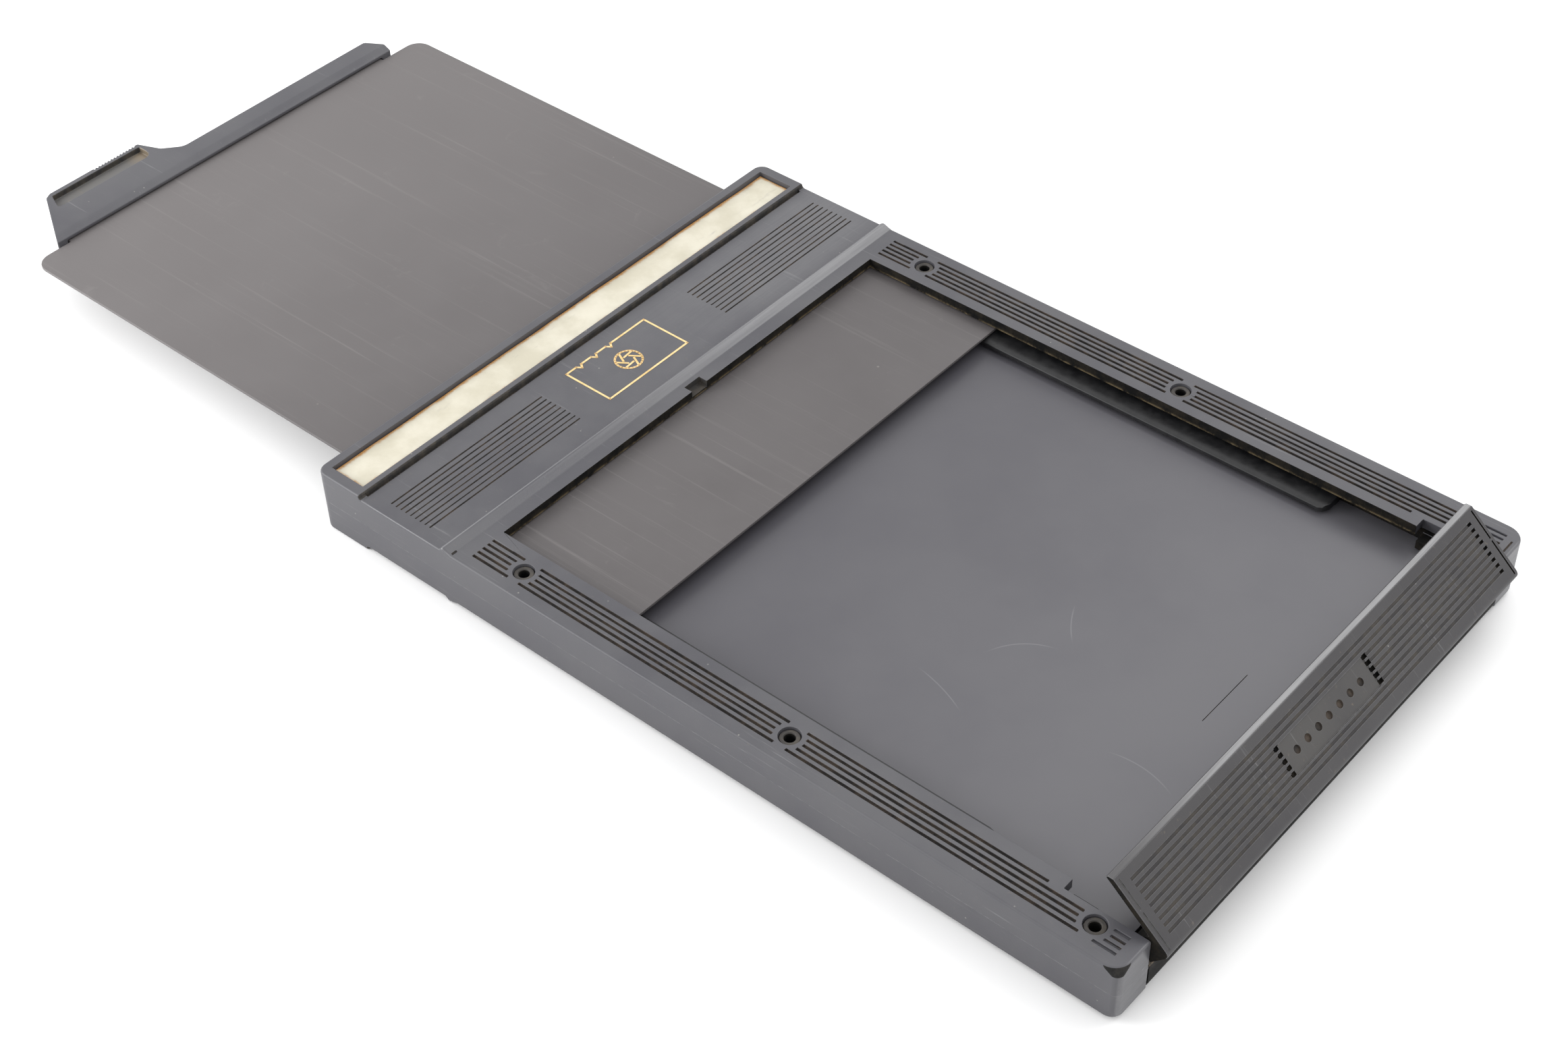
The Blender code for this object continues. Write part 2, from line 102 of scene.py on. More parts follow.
def filletOutline(corners, steps=6):
    # corners are (x, y, radius); hollow corners come out as hollow fillets
    points = []
    for i, (x, y, radius) in enumerate(corners):
        if radius <= 0:
            points.append((x, y))
            continue
        here = Vector((x, y))
        before = (Vector(corners[i - 1][:2]) - here).normalized()
        after = (Vector(corners[(i + 1) % len(corners)][:2]) - here).normalized()
        half = math.acos(max(-1.0, min(1.0, before.dot(after)))) / 2
        centre = here + (before + after).normalized() * (radius / math.sin(half))
        start = here + before * (radius / math.tan(half)) - centre
        end = here + after * (radius / math.tan(half)) - centre
        startAngle = math.atan2(start.y, start.x)
        turn = (math.atan2(end.y, end.x) - startAngle + math.pi) % (2 * math.pi) - math.pi
        for k in range(steps + 1):
            angle = startAngle + turn * k / steps
            points.append((centre.x + radius * math.cos(angle), centre.y + radius * math.sin(angle)))
    return points


def solidFrom(name, bm, *finishes):
    bmesh.ops.recalc_face_normals(bm, faces=bm.faces)
    bm.transform(Matrix.Scale(mm, 4))
    mesh = bpy.data.meshes.new(name)
    bm.to_mesh(mesh)
    bm.free()
    for finish in finishes:
        mesh.materials.append(finish)
    piece = bpy.data.objects.new(name, mesh)
    bpy.context.scene.collection.objects.link(piece)
    return piece


def bakeShape(piece):
    graph = bpy.context.evaluated_depsgraph_get()
    mesh = bpy.data.meshes.new_from_object(piece.evaluated_get(graph))
    piece.modifiers.clear()
    piece.data = mesh


def cutOrJoin(piece, tools, operation):
    for tool in tools:
        step = piece.modifiers.new(tool.name, "BOOLEAN")
        step.object = tool
        step.operation = operation
        step.solver = "EXACT"
        step.material_mode = "TRANSFER"
    bakeShape(piece)
    for tool in tools:
        bpy.data.objects.remove(tool)


def roundEdges(piece, width, segments=2, angle=40):
    bevel = piece.modifiers.new("rounding", "BEVEL")
    bevel.width = width * mm
    bevel.segments = segments
    bevel.limit_method = "ANGLE"
    bevel.angle_limit = math.radians(angle)
    bevel.use_clamp_overlap = False
    bevel.miter_outer = "MITER_ARC"
    bakeShape(piece)


def mergeFlats(piece):
    # takes out the loose edges and double points that cutting leaves on flat faces
    bm = bmesh.new()
    bm.from_mesh(piece.data)
    bmesh.ops.remove_doubles(bm, verts=bm.verts, dist=0.002 * mm)
    bmesh.ops.dissolve_limit(bm, angle_limit=math.radians(0.3), verts=bm.verts, edges=bm.edges,
                             use_dissolve_boundaries=False, delimit={"MATERIAL"})
    bm.to_mesh(piece.data)
    bm.free()


def trimBelow(piece, level):
    # flat cut that drops everything under the level and closes the opening
    bm = bmesh.new()
    bm.from_mesh(piece.data)
    parts = list(bm.verts) + list(bm.edges) + list(bm.faces)
    cut = bmesh.ops.bisect_plane(bm, geom=parts, dist=0.0001 * mm, plane_co=(0.0, 0.0, level * mm),
                                 plane_no=(0.0, 0.0, 1.0), clear_inner=True)["geom_cut"]
    rim = [part for part in cut if isinstance(part, bmesh.types.BMEdge)]
    bmesh.ops.triangle_fill(bm, edges=rim, use_beauty=True, use_dissolve=True, normal=(0.0, 0.0, -1.0))
    bm.to_mesh(piece.data)
    bm.free()


def evenShading(piece):
    for face in piece.data.polygons:
        face.use_smooth = True
    piece.data.set_sharp_from_angle(angle=math.radians(33))
    weights = piece.modifiers.new("shading", "WEIGHTED_NORMAL")
    weights.keep_sharp = True
    weights.weight = 80
    bakeShape(piece)


def boxTool(name, low, high, *finishes):
    bm = bmesh.new()
    boxInto(bm, low, high)
    return solidFrom(name, bm, *finishes)


def addNode(tree, kind, inputs=None, **settings):
    node = tree.nodes.new(kind)
    for name, value in settings.items():
        setattr(node, name, value)
    for name, value in (inputs or {}).items():
        if isinstance(value, bpy.types.NodeSocket):
            tree.links.new(value, node.inputs[name])
        else:
            node.inputs[name].default_value = value
    return node


def sums(tree, operation, first, second=0.0, clamp=False):
    node = addNode(tree, "ShaderNodeMath", {0: first, 1: second}, operation=operation)
    node.use_clamp = clamp
    return node.outputs[0]


def fade(tree, value, low, high, outLow=0.0, outHigh=1.0):
    node = addNode(tree, "ShaderNodeMapRange", {"Value": value, "From Min": low, "From Max": high,
                                                "To Min": outLow, "To Max": outHigh})
    node.interpolation_type = "SMOOTHSTEP"
    return node.outputs["Result"]


def blendColour(tree, amount, first, second):
    node = tree.nodes.new("ShaderNodeMix")
    node.data_type = "RGBA"
    for name, value in (("Factor", amount), ("A", first), ("B", second)):
        socket = next(s for s in node.inputs if s.name == name and s.enabled)
        if isinstance(value, bpy.types.NodeSocket):
            tree.links.new(value, socket)
        else:
            socket.default_value = (*value, 1.0) if isinstance(value, tuple) else value
    return next(s for s in node.outputs if s.enabled)


def drawnPlace(tree, stretch=(1.0, 1.0, 1.0), turn=0.0):
    # the place each point was drawn at, in millimetres, stretched for streaks
    coords = addNode(tree, "ShaderNodeAttribute", attribute_name="drawn").outputs["Vector"]
    scale = tuple(1000.0 * s for s in stretch)
    node = addNode(tree, "ShaderNodeMapping", {"Vector": coords, "Scale": scale,
                                               "Rotation": (0.0, 0.0, turn)})
    return node.outputs["Vector"]


def cloud(tree, place, scale, detail=3.0, rough=0.55, warp=0.0):
    node = addNode(tree, "ShaderNodeTexNoise", {"Vector": place, "Scale": scale, "Detail": detail,
                                                "Roughness": rough, "Distortion": warp})
    return node.outputs["Fac"]


def edgeMask(tree, radius):
    # one where a convex or hollow edge passes within radius
    rounded = addNode(tree, "ShaderNodeBevel", {"Radius": radius * mm}, samples=6).outputs[0]
    flat = addNode(tree, "ShaderNodeNewGeometry").outputs["Normal"]
    dot = addNode(tree, "ShaderNodeVectorMath", {0: rounded, 1: flat}, operation="DOT_PRODUCT")
    return sums(tree, "SUBTRACT", 1.0, dot.outputs["Value"], clamp=True)


def startFinish(name):
    material = bpy.data.materials.new(name)
    material.use_nodes = True
    return material, material.node_tree, material.node_tree.nodes["Principled BSDF"]


def setBump(tree, shader, height, depth):
    bump = addNode(tree, "ShaderNodeBump", {"Height": height, "Distance": depth * mm,
                                            "Strength": 1.0})
    tree.links.new(bump.outputs["Normal"], shader.inputs["Normal"])


plasticLook = {
    "dark": (0.056, 0.055, 0.064), "light": (0.078, 0.077, 0.084), "worn": (0.26, 0.26, 0.265),
    "dust": (0.24, 0.19, 0.13), "speck": (0.34, 0.33, 0.30), "rough": (0.38, 0.56), "grain": 0.012,
}


def mouldedPlastic(name, look=plasticLook, edgeWearAndSheen=0.55, dust=0.10, steady=0.0, streakBands=()):
    # the band list holds pale streaky bands: x, y from dull to pale, lowest z,
    # softness of its edges and the amount at the dull and at the pale end; some are painted light
    material, tree, shader = startFinish(name)
    place = drawnPlace(tree)
    smudge = cloud(tree, place, 0.045, 4.0, 0.6)
    patch = cloud(tree, place, 0.9, 3.0, 0.7)
    grain = cloud(tree, place, 3.2, 2.0, 0.6)
    colour = blendColour(tree, fade(tree, smudge, 0.3, 0.7), look["dark"], look["light"])
    streak = cloud(tree, drawnPlace(tree, (0.05, 1.6, 1.6)), 1.0, 4.0, 0.7)
    streakMask = sums(tree, "MULTIPLY", fade(tree, streak, 0.62, 0.78), 0.35)
    colour = blendColour(tree, streakMask, colour, look["worn"])
    dustMask = sums(tree, "MULTIPLY", fade(tree, patch, 0.62, 0.80), dust)
    colour = blendColour(tree, dustMask, colour, look["dust"])
    speck = addNode(tree, "ShaderNodeTexVoronoi", {"Vector": place, "Scale": 0.45})
    specks = sums(tree, "MULTIPLY", fade(tree, speck.outputs["Distance"], 0.085, 0.04),
                  fade(tree, cloud(tree, place, 0.2), 0.54, 0.62))
    colour = blendColour(tree, sums(tree, "MULTIPLY", specks, 0.5), colour, look["speck"])
    low, high = look["rough"]
    rough = fade(tree, smudge, 0.3, 0.75, low, high)
    split = addNode(tree, "ShaderNodeSeparateXYZ", {0: place})
    for (x0, x1), (y0, y1), lowest, soft, (dull, pale) in streakBands:
        band = sums(tree, "MULTIPLY", fade(tree, split.outputs["X"], x0 - soft, x0 + soft),
                    fade(tree, split.outputs["X"], x1 + soft, x1 - soft))
        band = sums(tree, "MULTIPLY", band, fade(tree, split.outputs["Z"], lowest, lowest + 0.08))
        lines = cloud(tree, drawnPlace(tree, (2.2, 0.05, 1.0)), 1.0, 4.0, 0.7)
        band = sums(tree, "MULTIPLY", band, fade(tree, lines, 0.25, 0.62, 0.6, 1.0))
        amount = fade(tree, split.outputs["Y"], y0, y1, dull, pale)
        colour = blendColour(tree, sums(tree, "MULTIPLY", band, amount), colour, look["worn"])
        rough = sums(tree, "SUBTRACT", rough, sums(tree, "MULTIPLY", band, 0.1))
    # pale edges: worn in patches, and with steady coverage, as on the flap, a painted highlight too
    edges = fade(tree, edgeMask(tree, 0.26), 0.03, 0.22)
    edgeWearAndSheenMask = sums(tree, "MULTIPLY", edges, fade(tree, patch, 0.35, 0.66, steady, 1.0))
    colour = blendColour(tree, sums(tree, "MULTIPLY", edgeWearAndSheenMask, edgeWearAndSheen), colour, look["worn"])
    tree.links.new(colour, shader.inputs["Base Color"])
    tree.links.new(rough, shader.inputs["Roughness"])
    setBump(tree, shader, grain, look["grain"])
    return material


# Finish for hollows: a clean and a dusty tone; where these are darker than the plastic round them, they are
# painted shade
def hollowShadeAndDust(name, clean, dusty, shine=0.5, foot=None):
    # foot is (lower z, upper z, colour) of dust gathered at the bottom of a wall
    material, tree, shader = startFinish(name)
    place = drawnPlace(tree)
    patch = cloud(tree, place, 0.35, 4.0, 0.7)
    colour = blendColour(tree, fade(tree, patch, 0.36, 0.70), clean, dusty)
    if foot:
        height = addNode(tree, "ShaderNodeSeparateXYZ", {0: place}).outputs["Z"]
        lower, upper, settledDust = foot
        settled = sums(tree, "MULTIPLY", fade(tree, height, upper, lower), fade(tree, patch, 0.38, 0.60))
        settled = sums(tree, "MULTIPLY", settled, fade(tree, height, lower - 0.6, lower - 0.3))
        colour = blendColour(tree, settled, colour, settledDust)
    tree.links.new(colour, shader.inputs["Base Color"])
    shader.inputs["Roughness"].default_value = 0.85
    shader.inputs["Specular IOR Level"].default_value = shine
    setBump(tree, shader, cloud(tree, place, 5.0), 0.03)
    return material


slideLook = {
    "dark": (0.076, 0.069, 0.070), "light": (0.089, 0.082, 0.083), "scuff": (0.24, 0.225, 0.22),
    "edge": (0.36, 0.31, 0.24), "speck": (0.42, 0.40, 0.36), "rough": (0.46, 0.62),
    "paintedLightRamp": (35.0, -100.0, 0.0, 0.22),    # painted light: the plate lightens toward its tail
}


def scuffedPlate(name, look=slideLook):
    material, tree, shader = startFinish(name)
    place = drawnPlace(tree)
    mottle = cloud(tree, place, 0.035, 5.0, 0.65)
    fine = cloud(tree, place, 1.6, 3.0, 0.7)
    colour = blendColour(tree, fade(tree, mottle, 0.32, 0.68), look["dark"], look["light"])
    scuff = cloud(tree, drawnPlace(tree, (0.012, 0.9, 1.0)), 1.0, 5.0, 0.72)
    colour = blendColour(tree, sums(tree, "MULTIPLY", fade(tree, scuff, 0.55, 0.78), 0.30),
                         colour, look["scuff"])
    speck = addNode(tree, "ShaderNodeTexVoronoi", {"Vector": place, "Scale": 0.16})
    dots = fade(tree, speck.outputs["Distance"], 0.055, 0.02)
    dots = sums(tree, "MULTIPLY", dots, fade(tree, cloud(tree, place, 0.09), 0.5, 0.62))
    colour = blendColour(tree, sums(tree, "MULTIPLY", dots, 0.5), colour, look["speck"])
    smear = cloud(tree, place, 0.11, 5.0, 0.8, 0.6)
    colour = blendColour(tree, sums(tree, "MULTIPLY", fade(tree, smear, 0.60, 0.74), 0.12),
                         colour, look["scuff"])
    along = addNode(tree, "ShaderNodeSeparateXYZ", {0: place}).outputs["X"]
    # painted light: lighter toward the tail, in the pale scuff tone
    colour = blendColour(tree, fade(tree, along, *look["paintedLightRamp"]), colour, look["scuff"])
    edges = fade(tree, edgeMask(tree, 0.22), 0.04, 0.3)
    colour = blendColour(tree, sums(tree, "MULTIPLY", edges, fade(tree, fine, 0.3, 0.62)),
                         colour, look["edge"])
    tree.links.new(colour, shader.inputs["Base Color"])
    tree.links.new(fade(tree, mottle, 0.3, 0.7, *look["rough"]), shader.inputs["Roughness"])
    setBump(tree, shader, fine, 0.006)
    return material


septumLook = {
    "dark": (0.062, 0.060, 0.070), "light": (0.071, 0.069, 0.078), "scratchAndSheen": (0.30, 0.30, 0.31),
    # painted reflection: the sheet lightens toward the flap end
    "paintedLightRamp": (-60.0, 75.0, 0.0, 0.12),
    # fine bowed scratches: centre x, centre y, radius, from and to in degrees
    "scratches": ((8.0, -60.0, 34.0, 62.0, 84.0), (30.0, -20.0, 12.0, 100.0, 165.0),
                  (44.0, 10.0, 22.0, 200.0, 226.0), (52.0, -38.0, 17.0, 60.0, 110.0)),
}


def smoothPlate(name, look=septumLook):
    material, tree, shader = startFinish(name)
    place = drawnPlace(tree)
    haze = cloud(tree, place, 0.03, 4.0, 0.6)
    fine = cloud(tree, place, 2.4, 2.0, 0.5)
    colour = blendColour(tree, fade(tree, haze, 0.3, 0.7), look["dark"], look["light"])
    split = addNode(tree, "ShaderNodeSeparateXYZ", {0: place})
    # painted reflection: lighter toward the flap end
    colour = blendColour(tree, fade(tree, split.outputs["X"], *look["paintedLightRamp"]), colour, look["scratchAndSheen"])
    marks = None
    for x, y, radius, start, end in look["scratches"]:
        dx = sums(tree, "SUBTRACT", split.outputs["X"], x)
        dy = sums(tree, "SUBTRACT", split.outputs["Y"], y)
        reach = sums(tree, "SQRT", sums(tree, "ADD", sums(tree, "MULTIPLY", dx, dx),
                                        sums(tree, "MULTIPLY", dy, dy)))
        off = sums(tree, "ABSOLUTE", sums(tree, "SUBTRACT", reach, radius))
        angle = sums(tree, "ARCTAN2", dy, dx)
        middle = math.radians((start + end) / 2)
        if middle > math.pi:
            middle -= 2 * math.pi
        aside = sums(tree, "ABSOLUTE", sums(tree, "SUBTRACT", angle, middle))
        half = math.radians((end - start) / 2)
        mark = sums(tree, "MULTIPLY", fade(tree, off, 0.16, 0.03), fade(tree, aside, half, half * 0.4))
        marks = mark if marks is None else sums(tree, "MAXIMUM", marks, mark)
    hairs = cloud(tree, drawnPlace(tree, (0.02, 2.4, 1.0), 0.35), 1.0, 4.0, 0.7)
    marks = sums(tree, "MAXIMUM", sums(tree, "MULTIPLY", marks, 0.20),
                 sums(tree, "MULTIPLY", fade(tree, hairs, 0.68, 0.80), 0.07))
    colour = blendColour(tree, marks, colour, look["scratchAndSheen"])
    tree.links.new(colour, shader.inputs["Base Color"])
    tree.links.new(fade(tree, haze, 0.3, 0.7, 0.30, 0.42), shader.inputs["Roughness"])
    setBump(tree, shader, fine, 0.004)
    return material


cardLook = {
    "card": (0.46, 0.43, 0.34), "pale": (0.56, 0.53, 0.44), "toast": (0.36, 0.18, 0.05),
    "graphite": (0.22, 0.21, 0.20), "x": (-95.0, -87.3), "y": 57.85,
}


def agedCard(name, look=cardLook):
    material, tree, shader = startFinish(name)
    place = drawnPlace(tree)
    split = addNode(tree, "ShaderNodeSeparateXYZ", {0: place})
    middle = sum(look["x"]) / 2
    half = (look["x"][1] - look["x"][0]) / 2
    acrossX = sums(tree, "ABSOLUTE", sums(tree, "SUBTRACT", split.outputs["X"], middle))
    edgeX = sums(tree, "SUBTRACT", half, acrossX)
    edgeY = sums(tree, "SUBTRACT", look["y"], sums(tree, "ABSOLUTE", split.outputs["Y"]))
    ragged = sums(tree, "MULTIPLY", cloud(tree, place, 0.45, 4.0, 0.7), 1.3)
    rim = sums(tree, "SUBTRACT", sums(tree, "MINIMUM", edgeX, edgeY), ragged)
    tone = cloud(tree, place, 0.12, 4.0, 0.6)
    colour = blendColour(tree, fade(tree, tone, 0.3, 0.7), look["card"], look["pale"])
    colour = blendColour(tree, fade(tree, rim, 0.25, -0.55), colour, look["toast"])
    streakBands = cloud(tree, drawnPlace(tree, (0.5, 0.12, 1.0), 0.6), 1.0, 4.0, 0.65)
    where = cloud(tree, place, 0.05, 2.0, 0.5)
    smudges = sums(tree, "MULTIPLY", fade(tree, streakBands, 0.56, 0.72), fade(tree, where, 0.46, 0.60))
    colour = blendColour(tree, sums(tree, "MULTIPLY", smudges, 0.40), colour, look["graphite"])
    tree.links.new(colour, shader.inputs["Base Color"])
    shader.inputs["Roughness"].default_value = 0.75
    setBump(tree, shader, cloud(tree, place, 2.5, 4.0, 0.7), 0.02)
    return material


smallLook = {"edge": (0.14, 0.14, 0.14), "edgeAmount": 0.25, "cloud": 0.5}


def plainFinish(name, colour, second, rough, metallic=0.0, bump=0.01, look=smallLook):
    # two near tones in clouds, for small pieces
    material, tree, shader = startFinish(name)
    coords = addNode(tree, "ShaderNodeTexCoord").outputs["Object"]
    place = addNode(tree, "ShaderNodeMapping", {"Vector": coords, "Scale": (1000.0,) * 3}).outputs["Vector"]
    tone = cloud(tree, place, look["cloud"], 4.0, 0.65)
    mixed = blendColour(tree, fade(tree, tone, 0.35, 0.65), colour, second)
    edges = fade(tree, edgeMask(tree, 0.2), 0.05, 0.35)
    mixed = blendColour(tree, sums(tree, "MULTIPLY", edges, look["edgeAmount"]), mixed, look["edge"])
    tree.links.new(mixed, shader.inputs["Base Color"])
    tree.links.new(fade(tree, tone, 0.3, 0.7, rough, rough + 0.12), shader.inputs["Roughness"])
    shader.inputs["Metallic"].default_value = metallic
    setBump(tree, shader, cloud(tree, place, 3.0), bump)
    return material


# Pale streaky bands, in the terms that mouldedPlastic gives: on the flap lip a painted highlight, on the
# end face painted light, in the finger pocket dust; the rib slope and head panel bands pale toward the far
# side, the rib crest toward the near end.
paleBands = {
    "ribSlope": ((-65.05, -63.0), (-46.0, 40.0), 5.22, 0.12, (0.02, 0.52)),
    "ribCrest": ((-65.3, -64.95), (-58.0, -20.0), 5.6, 0.1, (0.5, 0.2)),
    "headPanel": ((-84.0, -67.0), (-20.0, 45.0), 5.0, 2.5, (0.0, 0.16)),
    # painted light: the whole end face lighter
    "litEndFace": ((75.45, 80.0), (-60.0, 60.0), -9.0, 0.15, (0.16, 0.24)),
    # painted highlight along the flap lip, bright from its near quarter on
    "flapLipHighlight": ((60.45, 61.25), (-51.0, -18.0), 4.4, 0.1, (0.10, 0.85)),
    "tabPocket": ((-110.2, -106.0), (-20.0, -15.0), 3.4, 0.2, (0.0, 0.75)),
}
flapLook = {**plasticLook, "dark": (0.032, 0.030, 0.033), "light": (0.045, 0.043, 0.045)}
flapPlateLook = {**flapLook, "dark": (0.038, 0.036, 0.037), "light": (0.053, 0.050, 0.048)}
pocketLook = {**plasticLook, "dark": (0.078, 0.076, 0.078), "light": (0.110, 0.106, 0.102),
              "worn": (0.20, 0.155, 0.10)}
# painted shade of the deep wells, clean and dusty, then their shine
wellShadeTones = ((0.005, 0.005, 0.005), (0.018, 0.015, 0.011), 0.12)
wallFoot = (3.2, 3.9, (0.15, 0.115, 0.065))

casePlastic = mouldedPlastic("casePlastic", streakBands=(paleBands["ribSlope"], paleBands["ribCrest"],
                                                    paleBands["headPanel"], paleBands["litEndFace"]))
# the flap: pale edges all round, partly worn and partly painted highlight, and a painted highlight band
# along its lip
flapPlastic = mouldedPlastic("flapPlastic", flapLook, edgeWearAndSheen=0.85, dust=0.22, steady=0.55,
                             streakBands=(paleBands["flapLipHighlight"],))
flapPlate = mouldedPlastic("flapPlate", flapPlateLook, edgeWearAndSheen=0.6, dust=0.3)
handlePlastic = mouldedPlastic("handlePlastic", edgeWearAndSheen=0.5, dust=0.10)
pocketPlastic = mouldedPlastic("pocketPlastic", pocketLook, edgeWearAndSheen=0.6, dust=0.5,
                               streakBands=(paleBands["tabPocket"],))
# groove floors: painted shade, near black, with brown dust patches
grooveShadeAndDust = hollowShadeAndDust("grooveShadeAndDust", (0.014, 0.012, 0.011), (0.060, 0.044, 0.032))
flapGroove = hollowShadeAndDust("flapGroove", (0.036, 0.034, 0.035), (0.058, 0.051, 0.043))
# painted shade for steps, the rib nick, the notch and the finger tab wall, with dust patches
stepShadeAndDust = hollowShadeAndDust("stepShadeAndDust", (0.018, 0.017, 0.017), (0.050, 0.042, 0.033))
# painted shade with dirt, for the tapered corner and the flap's lower outer end
cornerShadeAndGrime = hollowShadeAndDust("cornerShadeAndGrime", (0.009, 0.009, 0.009), (0.028, 0.026, 0.024), shine=0.25)
hingeDust = hollowShadeAndDust("hingeDust", (0.030, 0.024, 0.018), (0.150, 0.115, 0.075))
# painted shade: near black for holes, channels, slots and hidden undersides, with dust patches
wellShadeAndDust = hollowShadeAndDust("wellShadeAndDust", *wellShadeTones)
# the window walls: painted shade of a deep well, with dust settled at their foot
windowWall = hollowShadeAndDust("windowWall", *wellShadeTones, foot=wallFoot)
slidePlate = scuffedPlate("slidePlate")
septumPlate = smoothPlate("septumPlate")
labelCard = agedCard("labelCard")
railBlack = plainFinish("railBlack", (0.007, 0.007, 0.008), (0.013, 0.013, 0.014), 0.38)
pileBlack = plainFinish("pileBlack", (0.006, 0.006, 0.006), (0.014, 0.014, 0.014), 0.9, bump=0.06)
springBrass = plainFinish("springBrass", (0.62, 0.47, 0.22), (0.48, 0.36, 0.18), 0.28, metallic=1.0)
rivetBlack = plainFinish("rivetBlack", (0.040, 0.036, 0.034), (0.066, 0.058, 0.048), 0.55, metallic=0.2)
goldInk = plainFinish("goldInk", (0.80, 0.60, 0.30), (0.66, 0.47, 0.20), 0.42, metallic=0.35)
print("finishes ready")


caseSizes = {
    "head": -97.05, "end": 75.85, "width": 120.6, "face": 5.2, "crest": 6.0,
    "corner": 2.2, "edge": 0.45, "fine": 0.10,
    # near and far corner at the flap end: radius below, radius at the face, start of the taper
    "endCorners": {"front": ((1.3, 3.4, 3.9), (3.4, 3.4, 3.4)),
                   "back": ((3.4, 3.4, 3.4), (1.3, 2.3, 2.6))},
    "cornerReach": 4.0,
    "frameFoot": (-0.01, 0.55, 0.5, 1.6),    # from and to in x, depth, margin at the sides
    "ribFoot": (-65.9, -62.9), "ribCrest": -65.0,
    "frameEnd": -85.75, "label": (-95.15, -87.15), "labelWidth": 116.0, "labelFloor": 4.6,
    "window": (60.15, 50.05), "pocket": (52.3, 2.65), "channel": 52.6, "channelZ": (2.05, 3.25),
    "channelMouth": 0.3, "cavity": (0.4, 2.95), "septum": (-90.5, 71.2, 53.3, 0.3), "ledgeEnd": 65.15,
    # small marks: two places in x, two in y and a depth or a floor
    "ribNick": (-63.2, -62.9, 0.6, 1.7, 0.10), "endLine": (1.3, 1.05, 52.8, 56.8, 0.16),
    "notch": (1.9, 1.0, -1.5, 2.5, 3.9), "pivotHole": (0.42, 108.0),
    "railGrooves": (52.7, 53.9, 55.1, 56.3, 57.5), "railGrooveX": (-60.15, 73.2), "innerEnd": 57.6,
    "grooveWidth": 0.5, "grooveDepth": 0.45,
    "panelGrooves": 9, "panelFirst": -80.6, "panelPitch": 1.205, "panelWidth": 0.24,
    "panelDepth": 0.2, "panelSpan": (19.9, 57.4),
    "rivetX": (-50.55, 8.65, 67.7), "rivetY": 54.9, "ring": 2.9,
    "holeRadius": 1.35, "sinkRadius": 1.95, "sinkFloor": 4.1,
}


def railGrooveSpans(y):
    s = caseSizes
    start, end = s["railGrooveX"]
    if y == s["railGrooves"][0]:
        end = s["innerEnd"]
    half = math.sqrt(s["ring"] ** 2 - (y - s["rivetY"]) ** 2)
    spans = []
    for x in s["rivetX"]:
        if x - half < end:
            spans.append((start, x - half))
            start = x + half
    if start < end:
        spans.append((start, end))
    return spans


def caseGrooves():
    s = caseSizes
    bm = bmesh.new()
    for side in (-1, 1):
        for y in s["railGrooves"]:
            low = side * y - s["grooveWidth"] / 2
            for start, end in railGrooveSpans(y):
                boxInto(bm, (start, low, s["face"] - s["grooveDepth"]),
                        (end, low + s["grooveWidth"], s["face"] + beyond))
        for i in range(s["panelGrooves"]):
            x = s["panelFirst"] + i * s["panelPitch"] - s["panelWidth"] / 2
            near, far = sorted(side * y for y in s["panelSpan"])
            boxInto(bm, (x, near, s["face"] - s["panelDepth"]),
                    (x + s["panelWidth"], far, s["face"] + beyond))
    # the groove floors get painted shade with dust
    return solidFrom("caseGrooves", bm, grooveShadeAndDust)


